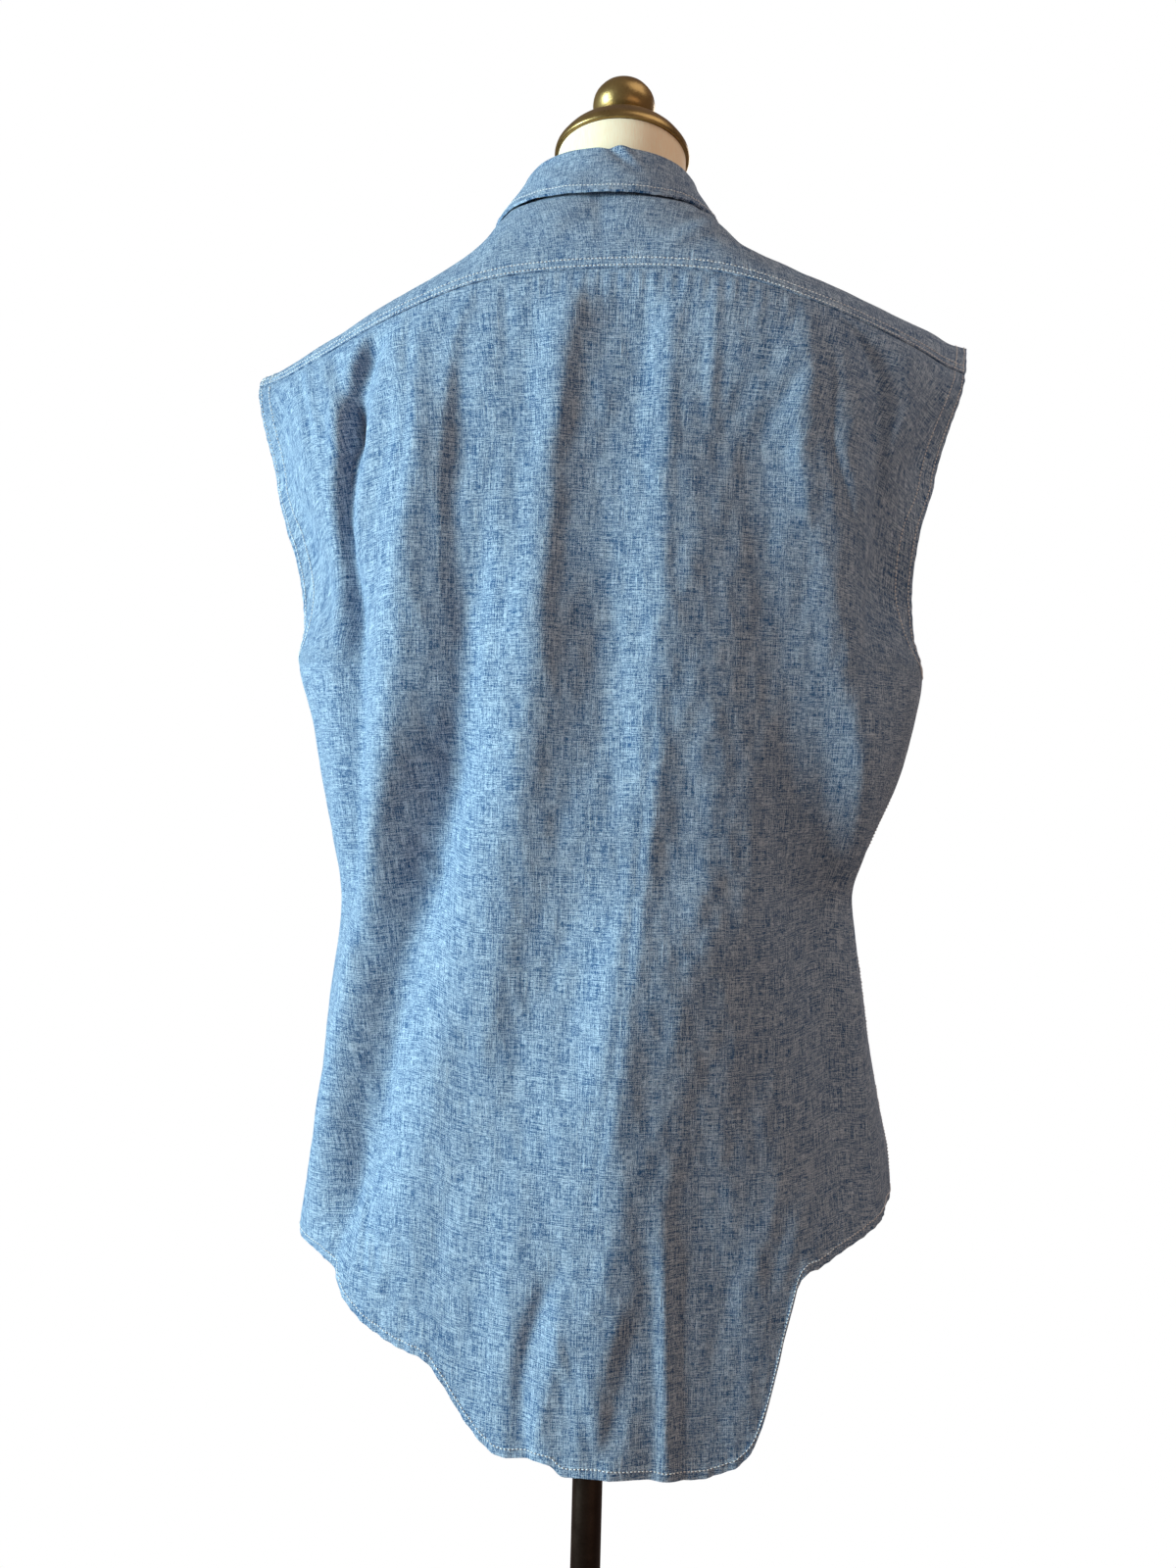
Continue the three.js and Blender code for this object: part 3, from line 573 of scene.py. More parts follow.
FRONT_HEM = Table(
    "at z",
    [
        (-205, 780), (-186, 776), (-168, 764), (-130, 736), (-85, 707), (-40, 694), (0, 690), (40, 692),
        (85, 703), (130, 725), (168, 742), (186, 748), (205, 750),
    ],
)
FRONT_FOLDS = [
    (1230, 600, 80, 98, 118, 26, 9), (1250, 640, 124, 144, 164, 24, -12), (1240, 700, 164, 188, 206, 22, 8),
    (1130, 600, 48, 54, 66, 22, -7), (1220, 620, -70, -88, -98, 28, 8),
    (1250, 680, -122, -136, -156, 26, -11), (1180, 700, -168, -184, -204, 22, 7),
    (1090, 600, -40, -48, -56, 20, -6),
]
PANEL_FOLDS = {"back": BACK_FOLDS, "front": FRONT_FOLDS}
PANEL_HEMS = {"back": BACK_HEM, "front": FRONT_HEM}
SEAM_CALM = 3.4
TOP_REACH = 0.85


def panel_row(facing, share, level):
    """Points of one row of a panel, with the length of cloth from the middle to each. level is 0 at the hem,
    1 at the underarm, 2 at CHEST_Z and 3 at the top seam."""
    if level[0] <= 2:
        hem = PANEL_HEMS[facing].at("z", EVEN_HALF * share)
        chest = mix(UNDERARM_Z, CHEST_Z, np.maximum(level - 1, 0) ** 1.6)
        made = body_point(facing, share, np.where(level <= 1, mix(hem, UNDERARM_Z, level), chest))
        return made[0], made[3]
    flat = np.full(share.shape, float(CHEST_Z))
    start, out, push, length, to_edge = body_point(facing, share, flat)
    below = body_point(facing, share, flat - 12)[0]
    front = facing == "front"
    end = front_top_point(share) if front else back_seam_point(share)
    into = front_top_direction(share) if front else back_seam_direction(share)
    span = np.linalg.norm(end - start, axis=1)
    t = (level - 2) * (1 - SEAM_GAP / 2 / span)
    reach = span[:, None]
    point = cubic(start, unit(start - below) * reach, end, into * reach * TOP_REACH, t[:, None])
    kept = push * (1 - t) ** 2 * (1 + 2 * t)
    more = fold_depth(PANEL_FOLDS[facing], length, point[:, 2], to_edge) - kept
    return point + out * (more * smooth((3 - level) * SEAM_CALM))[:, None], length


HEM_WIDTH = 6.5
HEM_ROWS = (0, 1.0, 2.2, 3.5, 5.0, HEM_WIDTH - 0.6, HEM_WIDTH, HEM_WIDTH + 0.6, 9.0)
SKIRT_ROWS = 117
CHEST_ROWS = 33
TOP_ROWS = 40
UNDERARM_ROW = len(HEM_ROWS) - 1 + SKIRT_ROWS


def panel_grid(facing, shares):
    """Rows of points from hem to top seam, and the length of cloth from the middle to each. The first rows
    lie a set distance above the hem."""
    hem = PANEL_HEMS[facing].at("z", EVEN_HALF * shares)
    slope = np.gradient(hem) / np.gradient(EVEN_HALF * shares)
    slant = np.sqrt(1 + np.clip(slope, -1.6, 1.6) ** 2)
    slant = np.convolve(np.pad(slant, 6, mode="edge"), np.ones(13) / 13, mode="valid")
    levels = [above * slant / (UNDERARM_Z - hem) for above in HEM_ROWS]
    first = levels[-1]
    levels += [mix(first, 1, t) for t in np.arange(1, SKIRT_ROWS) / SKIRT_ROWS]
    levels += [np.full(shares.shape, 1 + t) for t in np.arange(CHEST_ROWS) / CHEST_ROWS]
    levels += [np.full(shares.shape, 2 + t) for t in np.arange(TOP_ROWS + 1) / TOP_ROWS]
    rows = [panel_row(facing, shares, level) for level in levels]
    return np.array([row[0] for row in rows]), np.array([row[1] for row in rows])


def grid_normals(grid):
    return unit(np.cross(np.gradient(grid, axis=1), np.gradient(grid, axis=0)))


WAVE_COUNT = 16


def waves(u, v, seed, size, depth, upright=4.0):
    """Slight unevenness: many weak waves, long up the cloth and short across it."""
    random = np.random.default_rng(seed)
    total = np.zeros(u.shape)
    for _ in range(WAVE_COUNT):
        across = 2 * math.pi / (size * random.uniform(0.6, 1.8))
        up = 2 * math.pi / (size * upright * random.uniform(0.6, 2.0)) * random.choice([-1, 1])
        total += np.sin(across * u + up * v + random.uniform(0, 2 * math.pi))
    return depth * total / math.sqrt(WAVE_COUNT)


def row_distance(grid, from_end):
    """Distance along each row from its first or last point."""
    steps = np.linalg.norm(np.diff(grid, axis=1), axis=2)
    if from_end:
        steps = steps[:, ::-1]
    total = np.concatenate([np.zeros((len(grid), 1)), np.cumsum(steps, axis=1)], axis=1)
    return total[:, ::-1] if from_end else total


def column_distance(grid, from_end):
    """Distance along each column from its first or last point."""
    return row_distance(np.swapaxes(grid, 0, 1), from_end).T


def edge_gaps(grid):
    """Distances along the cloth from the first row, the last row, the first column and the last column."""
    return [measure(grid, far) for measure in (column_distance, row_distance) for far in (False, True)]


def pushed(grid, push):
    """The grid moved out of its own surface."""
    return grid + grid_normals(grid) * push[..., None]


def height_of_cloth(grid):
    """Length of cloth up each column of a panel, level at the underarm."""
    up = column_distance(grid, False)
    return up - up[UNDERARM_ROW] + UNDERARM_Z


def edge_band(distance, width):
    """1 inside a turned edge of this width, 0 beyond it."""
    return smooth((width + 0.6 - distance) / 1.2)


def pucker(distance, run, seed, depth=0.35, reach=9.0, pitch=9.0):
    """Small ripples square to a line of stitching, strongest at it."""
    random = np.random.default_rng(seed)
    phase = run * 2 * math.pi / pitch + 1.4 * np.sin(run / 23.0 + random.uniform(0, 6))
    uneven = 0.6 + 0.4 * np.sin(run / 41.0 + random.uniform(0, 6))
    return depth * uneven * np.sin(phase) * np.exp(-((distance / reach) ** 2))


FLARE = 12
FLARE_WIDTH = 24
FLARE_REACH = 38
FLARE_LIFT = 1.08
FLARE_WAY = (0.94, 0.34)
FLARE_FOOT_Z = UNDERARM_Z + 6
FLARE_RISE = 50
TIP_FLARE = 0.3
TIP_WIDTH = 45


def armhole_flare(gap, across, strength):
    """The armhole's turned edge stands out sideways, and the cloth beside it lies a little closer in."""
    edge = (1 - np.clip(gap / FLARE_WIDTH, 0, 1)) ** 2 * FLARE_LIFT
    beside = np.exp(-((gap / FLARE_REACH) ** 2))
    way = columns(np.sign(across) * FLARE_WAY[0], FLARE_WAY[1], 0)
    return way * (FLARE * (edge - beside) * strength)[..., None]


def shell(name, grid, uv, wall, material):
    """A thin wall of cloth round a grid of points on its middle surface, closed at its edges."""
    rows, cols = grid.shape[:2]
    normal = grid_normals(grid)
    half = (np.zeros((rows, cols)) + wall)[..., None] / 2
    outer = grid + normal * half
    points = np.concatenate([outer.reshape(-1, 3), (grid - normal * half).reshape(-1, 3)])
    near = np.arange(rows * cols).reshape(rows, cols)
    far = near + rows * cols
    quads = [
        np.stack([near[:-1, :-1], near[:-1, 1:], near[1:, 1:], near[1:, :-1]], -1).reshape(-1, 4),
        np.stack([far[:-1, :-1], far[1:, :-1], far[1:, 1:], far[:-1, 1:]], -1).reshape(-1, 4),
        np.stack([near[:-1, 0], near[1:, 0], far[1:, 0], far[:-1, 0]], -1),
        np.stack([near[:-1, -1], far[:-1, -1], far[1:, -1], near[1:, -1]], -1),
        np.stack([near[0, :-1], far[0, :-1], far[0, 1:], near[0, 1:]], -1),
        np.stack([near[-1, :-1], near[-1, 1:], far[-1, 1:], far[-1, :-1]], -1),
    ]
    flat = uv.reshape(-1, 2)
    piece = mesh_piece(name, points, np.concatenate(quads), material, np.concatenate([flat, flat]), sharp=55)
    return piece, outer, normal


SEAM_ALLOWANCE = 4.0
SEAM_STEP = 1.5


def with_allowance(grid, length, up, wall):
    """The panel, its map and its thickness, with one more row that runs on under the piece sewn over it."""
    ahead = unit(grid[-1] - grid[-2]) * SEAM_ALLOWANCE
    under = grid[-1] + ahead - grid_normals(grid)[-1] * SEAM_STEP
    cloth = np.stack([length, up], -1)
    more = cloth[-1] + (0, SEAM_ALLOWANCE)
    return (
        np.concatenate([grid, under[None]]),
        np.concatenate([cloth, more[None]]),
        np.concatenate([wall, np.full((1, wall.shape[1]), WALL)]),
    )


CHAMBRAY_BLUE = (0.022, 0.086, 0.205)
CHAMBRAY_WHITE = (0.51, 0.63, 0.75)


def chambray_paint():
    """Blue warp and white weft with slubs in both, matt, a little napped. Its map is in mm of cloth."""
    paint = Paint("chambray")
    cloth = paint.node("UVMap", {"uv_map": "cloth"})
    warp = paint.noise(paint.scaled(cloth, 3.3, 0.32), 1.0, 1.0, 0.5)
    weft = paint.noise(paint.scaled(cloth, 0.28, 3.3), 1.0, 1.0, 0.5)
    warp_slub = paint.noise(paint.scaled(cloth, 1.7, 0.05), 1.0, 1.0, 0.5)
    weft_slub = paint.noise(paint.scaled(cloth, 0.06, 1.7), 1.0, 1.0, 0.5)
    grain = paint.noise(paint.scaled(cloth, 3.0, 3.0), 1.0, 0.0, 0.5)
    patches = paint.noise(paint.scaled(cloth, 0.12, 0.15), 1.0, 3.0, 0.6)
    wear = paint.noise(paint.scaled(cloth, 0.02, 0.014), 1.0, 2.0, 0.5)
    flecks = (weft_slub * 0.6 + weft * 0.4).step(0.6, 0.68) + (warp_slub * 0.6 + warp * 0.4).step(0.62, 0.7)
    white = (
        (warp - 0.5) * 3.2
        + (weft - 0.5) * 3.2
        + (warp_slub - 0.5) * 2.5
        + (weft_slub - 0.5) * 2.5
        + (grain - 0.5) * 3.4
        + (patches - 0.5) * 1.1
        + (wear - 0.5) * 0.3
        + flecks * 0.4
        + 0.36
    ).clamped()
    threads = warp * 0.5 + weft * 0.5 + grain * 0.6
    slubs = weft_slub.step(0.55, 0.75) + warp_slub.step(0.58, 0.78)
    normal = paint.bump(threads, 0.00028, 0.8)
    return paint.finish(
        Base_Color=paint.blend(white, CHAMBRAY_BLUE, CHAMBRAY_WHITE),
        Roughness=(0.9 - white * 0.12).clamped(),
        Specular_IOR_Level=0.25,
        Sheen_Weight=0.08,
        Sheen_Roughness=0.45,
        Normal=paint.bump(slubs, 0.0003, 0.6, normal),
    )


chambray = chambray_paint()

SEAM_FREE = 8
SEAM_FREE_WIDE = 40
SEAM_TUCK = 0.45
SEAM_TUCK_WIDTH = 4
back_shares = np.linspace(1, -1, 191)
back_grid, back_length = panel_grid("back", back_shares)
back_up = height_of_cloth(back_grid)
back_height = back_grid[..., 2]
back_hem_gap, back_top_gap, back_left_gap, back_right_gap = edge_gaps(back_grid)
back_side_gap = np.minimum(back_left_gap, back_right_gap)
back_free = smooth(back_top_gap / SEAM_FREE)
back_push = (
    crease_depth(BACK_CREASES, back_length, back_height, back_side_gap) * back_free
    + waves(back_length, back_up, seed=11, size=46, depth=0.4) * smooth(back_top_gap / SEAM_FREE_WIDE)
    + waves(back_length, back_up, seed=12, size=17, depth=0.2, upright=3.0) * back_free
    + waves(back_length, back_up, seed=17, size=8, depth=0.07, upright=3.0) * back_free
    + pucker(back_hem_gap, back_length, seed=13, depth=0.5)
    + pucker(back_top_gap, back_length, seed=14, depth=0.5, reach=20.0, pitch=7.5)
    * smooth(back_top_gap / 5)
    - SEAM_TUCK * smooth(1 - back_top_gap / SEAM_TUCK_WIDTH)
    + pucker(back_side_gap, back_up, seed=15, depth=0.4)
)
back_risen = smooth((back_height - FLARE_FOOT_Z) / FLARE_RISE)
back_flare = back_risen * mix(TIP_FLARE, 1, smooth(back_top_gap / TIP_WIDTH))
back_grid = pushed(back_grid, back_push) + armhole_flare(back_side_gap, back_length, back_flare)
back_edge = np.maximum(edge_band(back_hem_gap, HEM_WIDTH), edge_band(back_side_gap, EDGE_WIDTH))
back_sewn_under = with_allowance(back_grid, back_length, back_up, WALL + HEM_EXTRA * back_edge)
back_panel, *back_cloth = shell("back_panel_cloth", *back_sewn_under, chambray)
fit(back_panel, "back_panel")


def sample(grid, row, col):
    """Points between the points of a grid."""
    row = np.clip(row, 0, grid.shape[0] - 1.001)
    col = np.clip(col, 0, grid.shape[1] - 1.001)
    r, c = row.astype(int), col.astype(int)
    a, b = (row - r)[:, None], (col - c)[:, None]
    return (
        grid[r, c] * (1 - a) * (1 - b)
        + grid[r + 1, c] * a * (1 - b)
        + grid[r, c + 1] * (1 - a) * b
        + grid[r + 1, c + 1] * a * b
    )


def line_by_rows(cloth, distance, gap, rows=None):
    """Points and normals of the line that lies this gap from a grid's first or last column."""
    rows = np.arange(distance.shape[0]) if rows is None else rows
    cols = []
    for r in rows:
        order = np.argsort(distance[r])
        cols.append(np.interp(gap, distance[r, order], order))
    return tuple(sample(grid, rows.astype(float), np.array(cols)) for grid in cloth)


def line_by_columns(cloth, distance, gap, cols=None):
    """The same from a grid's first or last row."""
    return line_by_rows([np.swapaxes(grid, 0, 1) for grid in cloth], distance.T, gap, cols)


STITCH_PITCH = 2.4
STITCH_LENGTH = 1.6
THREAD_RADIUS = 0.36
BEAD_WIDE = 1.15
BEAD_HIGH = 0.8
BEAD_SIDES = 5
BEAD_PROFILE = [(-0.5, -0.1, 0.25), (-0.32, 0.5, 0.9), (0.0, 0.75, 1.0), (0.32, 0.5, 0.9), (0.5, -0.1, 0.25)]


def beads(centre, ahead, up, length=STITCH_LENGTH, radius=THREAD_RADIUS):
    """Short lengths of thread at these places, each dipping into the cloth at its ends."""
    across = unit(np.cross(up, ahead))
    rings = []
    for share, lift, fat in BEAD_PROFILE:
        middle = centre + ahead * share * length + up * lift * radius
        for side in np.linspace(0, 2 * math.pi, BEAD_SIDES, endpoint=False):
            around = across * math.cos(side) * BEAD_WIDE + up * math.sin(side) * BEAD_HIGH
            rings.append(middle + around * radius * fat)
    points = np.stack(rings, 1)
    one = [list(reversed(range(BEAD_SIDES)))]
    for ring in range(len(BEAD_PROFILE) - 1):
        a = ring * BEAD_SIDES
        for s in range(BEAD_SIDES):
            n = (s + 1) % BEAD_SIDES
            one.append([a + s, a + n, a + BEAD_SIDES + n, a + BEAD_SIDES + s])
    one.append([(len(BEAD_PROFILE) - 1) * BEAD_SIDES + s for s in range(BEAD_SIDES)])
    faces = [[k * points.shape[1] + i for i in face] for k in range(len(centre)) for face in one]
    return points.reshape(-1, 3), faces


def stitch_row(line, normal):
    """Stitches at an even pitch along a line of points."""
    run = np.concatenate([[0], np.cumsum(np.linalg.norm(np.diff(line, axis=0), axis=1))])
    middles = np.arange(STITCH_PITCH * 0.6, run[-1] - STITCH_PITCH * 0.5, STITCH_PITCH)

    def read(table, at):
        return np.stack([np.interp(at, run, table[:, k]) for k in range(3)], -1)

    ahead = unit(read(line, middles + 0.6) - read(line, middles - 0.6))
    return beads(read(line, middles), ahead, unit(read(normal, middles)))


def sewn(name, rows):
    """All the thread on one piece, as one mesh of white cotton."""
    points, faces, count = [], [], 0
    for more, more_faces in rows:
        points.append(more)
        faces += [[count + i for i in face] for face in more_faces]
        count += len(more)
    piece = mesh_piece(name, np.concatenate(points), faces, thread, sharp=None)
    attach(piece, "root")
    return piece


COTTON = (0.96, 0.96, 0.93)
COTTON_SHADE = (0.75, 0.78, 0.8)
thread_paint = Paint("cotton_thread")
twist = thread_paint.noise(thread_paint.place(), 2600.0, 2.0)
thread = thread_paint.finish(
    Base_Color=thread_paint.blend(twist.step(0.3, 0.7), COTTON_SHADE, COTTON),
    Roughness=0.75,
    Normal=thread_paint.bump(twist, 0.0001, 0.5),
)
HEM_ROW_GAP = 5.2
EDGE_ROW_GAPS = (1.8, 7.9)


def edge_rows(cloth, side_gaps, rows=None):
    """The two rows of stitches beside each of these edges."""
    return [
        stitch_row(*line_by_rows(cloth, side_gap, row_gap, rows))
        for row_gap in EDGE_ROW_GAPS
        for side_gap in side_gaps
    ]


back_hem_row = stitch_row(*line_by_columns(back_cloth, back_hem_gap, HEM_ROW_GAP))
back_rows = edge_rows(back_cloth, (back_left_gap, back_right_gap))
back_stitches = sewn("back_panel_stitches", [back_hem_row, *back_rows])

# ---- fronts ----
# Two fronts of the same chambray, from the front yoke seams and neckline to the hem. They meet under the
# placket. Finished plainly like the back, with hem and armholes turned twice and stitched.
FRONT_EDGE = 9
RIGHT_SHORT = 0.8
PLACKET_WIDTH = 35
FRONT_CREASES = [
    (1090, 800, 60, 66, 74, 4, -1.4), (1090, 800, -66, -72, -80, 4, -1.4),
    (1280, 1190, 150, 160, 172, 5, -1.6), (1280, 1190, -150, -160, -170, 5, -1.6),
    (1000, 930, 150, 136, 120, 6, -1.2), (1000, 920, -150, -134, -118, 6, -1.2),
    (800, 730, 90, 94, 98, 5, 1.4), (800, 720, -100, -98, -94, 5, 1.4),
    (1180, 1128, 180, 172, 162, 5, -1.3), (1180, 1128, -180, -172, -162, 5, -1.3),
]


def spaced(ends, counts):
    """Values from end to end, with so many even steps between each two."""
    parts = [np.linspace(a, b, count, endpoint=False) for a, b, count in zip(ends, ends[1:], counts)]
    return np.concatenate([*parts, ends[-1:]])


def front_panel(name, side, seed):
    """One front with its stitches. side is +1 for the wearer's left."""
    inner = (FRONT_EDGE - (0 if side > 0 else RIGHT_SHORT)) / EVEN_HALF
    shares = spaced([inner, NECK_SHARE_FRONT, 1], [26, 71])
    grid, length = panel_grid("front", side * shares[::side])
    up = height_of_cloth(grid)
    height = grid[..., 2]
    hem_gap, top_gap, right_gap, left_gap = edge_gaps(grid)
    side_gap = left_gap if side > 0 else right_gap
    arm = smooth((height - UNDERARM_Z + 4) / 12)
    push = (
        crease_depth(FRONT_CREASES, length, height, side_gap)
        + waves(length, up, seed=seed, size=46, depth=0.5) * smooth(top_gap / SEAM_FREE_WIDE)
        + waves(length, up, seed=seed + 1, size=17, depth=0.16, upright=3.0)
        + pucker(hem_gap, length, seed=seed + 2, depth=0.45)
        + pucker(side_gap, up, seed=seed + 3, depth=0.4) * arm
    )
    grid = pushed(grid, push * smooth((np.abs(length) - 22) / 14))
    edge = np.maximum(edge_band(hem_gap, HEM_WIDTH), edge_band(side_gap, EDGE_WIDTH) * arm)
    edge = edge * smooth((np.abs(length) - 20) / 2)
    sewn_under = with_allowance(grid, length, up, WALL + HEM_EXTRA * edge)
    piece, *cloth = shell(name + "_cloth", *sewn_under, chambray)
    fit(piece, name)
    clear = np.flatnonzero(np.abs(side * shares[::side]) * EVEN_HALF > PLACKET_WIDTH / 2 + 2)
    hem_row = stitch_row(*line_by_columns(cloth, hem_gap, HEM_ROW_GAP, clear))
    arm_rows = edge_rows(cloth, [side_gap], np.arange(UNDERARM_ROW, len(grid)))
    stitches = sewn(name + "_stitches", [hem_row, *arm_rows])


front_panel("front_left", 1, 21)
front_panel("front_right", -1, 31)

# ---- yoke ----
# One shaped piece of chambray over both shoulders, between the back panel, the fronts and the collar. Its
# seams are turned under and held by two rows of white stitching.
# The shoulder line of each side: how far out it starts, its height there and its fall for each mm further.
SHOULDERS = {1: (81, 1402, 0.5), -1: (72, 1404, 0.37)}
NECK_SLOPES = (0.8, -0.72)
YOKE_REACH = 1.05
LEAST_ARCH = 0.6
YOKE_TIP_FADE = 30


def yoke_grid(shares, rows):
    """Columns from the back seam over the shoulder to the neckline or the front seam."""
    side = np.where(shares >= 0, 1, -1)
    size = np.abs(shares)
    start = back_seam_point(shares)
    turned_share = np.minimum(size / NECK_SHARE_BACK, 1)
    end = np.where(
        (size <= NECK_SHARE_BACK)[:, None],
        neck_point(side * turned_share * SHOULDER_TURN),
        front_seam_point(shares, np.clip((size - NECK_SHARE_BACK) / (1 - NECK_SHARE_BACK), 0, 1)),
    )
    span = np.linalg.norm(end - start, axis=1)
    slope = mix(*NECK_SLOPES, turned_share)
    up = back_seam_direction(shares)
    down = columns(0 * slope, -np.cos(slope), np.sin(slope))
    line_x, line_z, line_fall = (np.where(side > 0, SHOULDERS[1][k], SHOULDERS[-1][k]) for k in range(3))
    out = np.maximum(np.abs(start[:, 0] + end[:, 0]) / 2, line_x)
    lift = line_z - (out - line_x) * line_fall - (start[:, 2] + end[:, 2]) / 2
    arch = np.maximum(8 * lift / (up[:, 2] - down[:, 2]), span * LEAST_ARCH)
    reach = mix(span * YOKE_REACH, arch, smooth((size - 0.26) / 0.2))[:, None]
    gap = SEAM_GAP / 2 / span
    shares_up = [mix(gap, 1 - gap, row)[:, None] for row in rows]
    return np.array([cubic(start, up * reach, end, down * reach, t) for t in shares_up])


YOKE_HALF = 240
YOKE_TURNING = 7.0
YOKE_ROW_GAPS = (1.3, 6.4)
yoke_shares = spaced([1, NECK_SHARE_BACK, -NECK_SHARE_BACK, -1], [45, 80, 45])
yoke_sheet = yoke_grid(yoke_shares, np.linspace(0, 1, 61))
yoke_across = np.broadcast_to(YOKE_HALF * yoke_shares, yoke_sheet.shape[:2])
yoke_back_gap, yoke_front_gap, yoke_left_gap, yoke_right_gap = edge_gaps(yoke_sheet)
yoke_side_gap = np.minimum(yoke_left_gap, yoke_right_gap)
yoke_free = smooth(np.minimum(yoke_front_gap, yoke_back_gap) / 30)
yoke_push = (
    waves(yoke_across, yoke_back_gap, seed=41, size=30, depth=0.3, upright=1.2) * yoke_free
    + pucker(yoke_back_gap, yoke_across, seed=42, depth=0.3, reach=11.0, pitch=7.0)
    * smooth(yoke_back_gap / 4)
    + pucker(yoke_side_gap, yoke_back_gap, seed=43, depth=0.25)
)
yoke_flare = TIP_FLARE * smooth(1 - yoke_back_gap / YOKE_TIP_FADE)
yoke_sheet = pushed(yoke_sheet, yoke_push) + armhole_flare(yoke_side_gap, yoke_across, yoke_flare)
on_shoulder = np.broadcast_to(smooth((np.abs(yoke_shares) - 0.41) / 0.03), yoke_sheet.shape[:2])
yoke_edge = np.maximum(edge_band(yoke_back_gap, YOKE_TURNING), edge_band(yoke_side_gap, EDGE_WIDTH))
yoke_edge = np.maximum(yoke_edge, edge_band(yoke_front_gap, YOKE_TURNING) * on_shoulder)
yoke_map = np.stack([yoke_across, yoke_back_gap], -1)
yoke, *yoke_cloth = shell("yoke_cloth", yoke_sheet, yoke_map, WALL + HEM_EXTRA * yoke_edge, chambray)
fit(yoke, "yoke")
yoke_rows = []
for row_gap in YOKE_ROW_GAPS:
    yoke_rows.append(stitch_row(*line_by_columns(yoke_cloth, yoke_back_gap, row_gap)))
    for front_cols in (np.flatnonzero(yoke_shares > 0.42), np.flatnonzero(yoke_shares < -0.42)):
        yoke_rows.append(stitch_row(*line_by_columns(yoke_cloth, yoke_front_gap, row_gap, front_cols)))
yoke_rows += edge_rows(yoke_cloth, (yoke_left_gap, yoke_right_gap))
yoke_stitches = sewn("yoke_stitches", yoke_rows)

# ---- collar stand ----
# Two layers of chambray with interlining, sewn to the neckline and buttoned at the throat. It holds the fall
# up.
COLLAR = Table(
    "turn stand lean drop flare",
    [
        (0, 26, 10, 36, 22), (50, 27, 10, 33, 22), (95, 29, 10, 33, 17), (130, 28, 10, 37, 24),
        (155, 26, 10, 60, 36), (171, 26, 10, 78, 44), (187, 26, 10, 78, 44),
    ],
)
STAND_END = 3.26
STAND_IN = 1.2
STAND_UP = 1.4
LAP_START = 2.5
LAP_TURN = 0.6
LAP_SHARE = 0.55
FALL_END = 2.97
STAND_ROW_GAP = 2.6
CAD_WALL = 1.3
LAYER_GAP = 0.5


def collar_at(turn, column):
    return COLLAR.at(column, np.degrees(np.abs(turn)))


def stand_point(turn, level):
    """Middle surface of the stand: level 0 is its foot on the neckline, level 1 its top. Its left end laps
    outside its right end."""
    foot_point = neck_point(turn)
    lap = smooth((np.abs(turn) - LAP_START) / LAP_TURN) * np.sign(turn)
    out = lap * (CAD_WALL + LAYER_GAP) * LAP_SHARE - STAND_IN - collar_at(turn, "lean") * level
    return columns(
        foot_point[..., 0] + np.sin(turn) * out,
        foot_point[..., 1] + np.cos(turn) * out,
        foot_point[..., 2] + STAND_UP + collar_at(turn, "stand") * level,
    )


stand_turns = np.linspace(STAND_END, -STAND_END, 181)
stand_grid = np.array([stand_point(stand_turns, level) for level in np.linspace(0, 1, 17)])
stand_run = row_distance(stand_grid, False)
stand_up = column_distance(stand_grid, False)
stand_map = np.stack([stand_run, stand_up], -1)
collar_stand, *stand_cloth = shell("collar_stand_cloth", stand_grid, stand_map, CAD_WALL, chambray)
fit(collar_stand, "collar_stand")
stand_row = stitch_row(*line_by_columns(stand_cloth, stand_up, STAND_ROW_GAP))
stand_stitches = sewn("collar_stand_stitches", [stand_row])

# ---- collar fall ----
# Two layers of chambray, sewn to the stand's top, turned down over it and stitched once round its edge. It
# is a little bent at the middle back.
FALL_SECTION = Table(
    "row out up leaf",
    [
        (0, -2.1, -5, 0), (1, -1.8, 1.5, 0), (2, 1, 4, 0), (3, 3.6, 2.5, 0), (4, 4.4, 0, 0.08),
        (5, 4.4, 0, 0.38), (6, 4.4, 0, 0.7), (7, 4.4, 0, 1),
    ],
)
FALL_EDGE = 6.0
FALL_WALL = 1.2
FALL_EDGE_EXTRA = 0.3


def fall_row(turn, row):
    """A row of the fall: 0 is inside the stand's top, 2 on the fold and 7 at the outer edge."""
    top = stand_point(turn, 1)
    leaf = FALL_SECTION.at("leaf", row)
    out = FALL_SECTION.at("out", row) + collar_at(turn, "flare") * leaf
    return columns(
        top[..., 0] + np.sin(turn) * out,
        top[..., 1] + np.cos(turn) * out,
        top[..., 2] + FALL_SECTION.at("up", row) - collar_at(turn, "drop") * leaf,
    )


fall_turns = np.linspace(-FALL_END, FALL_END, 221)
fall_levels = spaced([0, 4, 7], [24, 44])
fall_grid = np.array([fall_row(fall_turns, level) for level in fall_levels])
fall_down, fall_edge_gap, fall_right_gap, fall_left_gap = edge_gaps(fall_grid)
fall_run = fall_right_gap - fall_right_gap[:, len(fall_turns) // 2, None]
fall_end_gap = np.minimum(fall_right_gap, fall_left_gap)
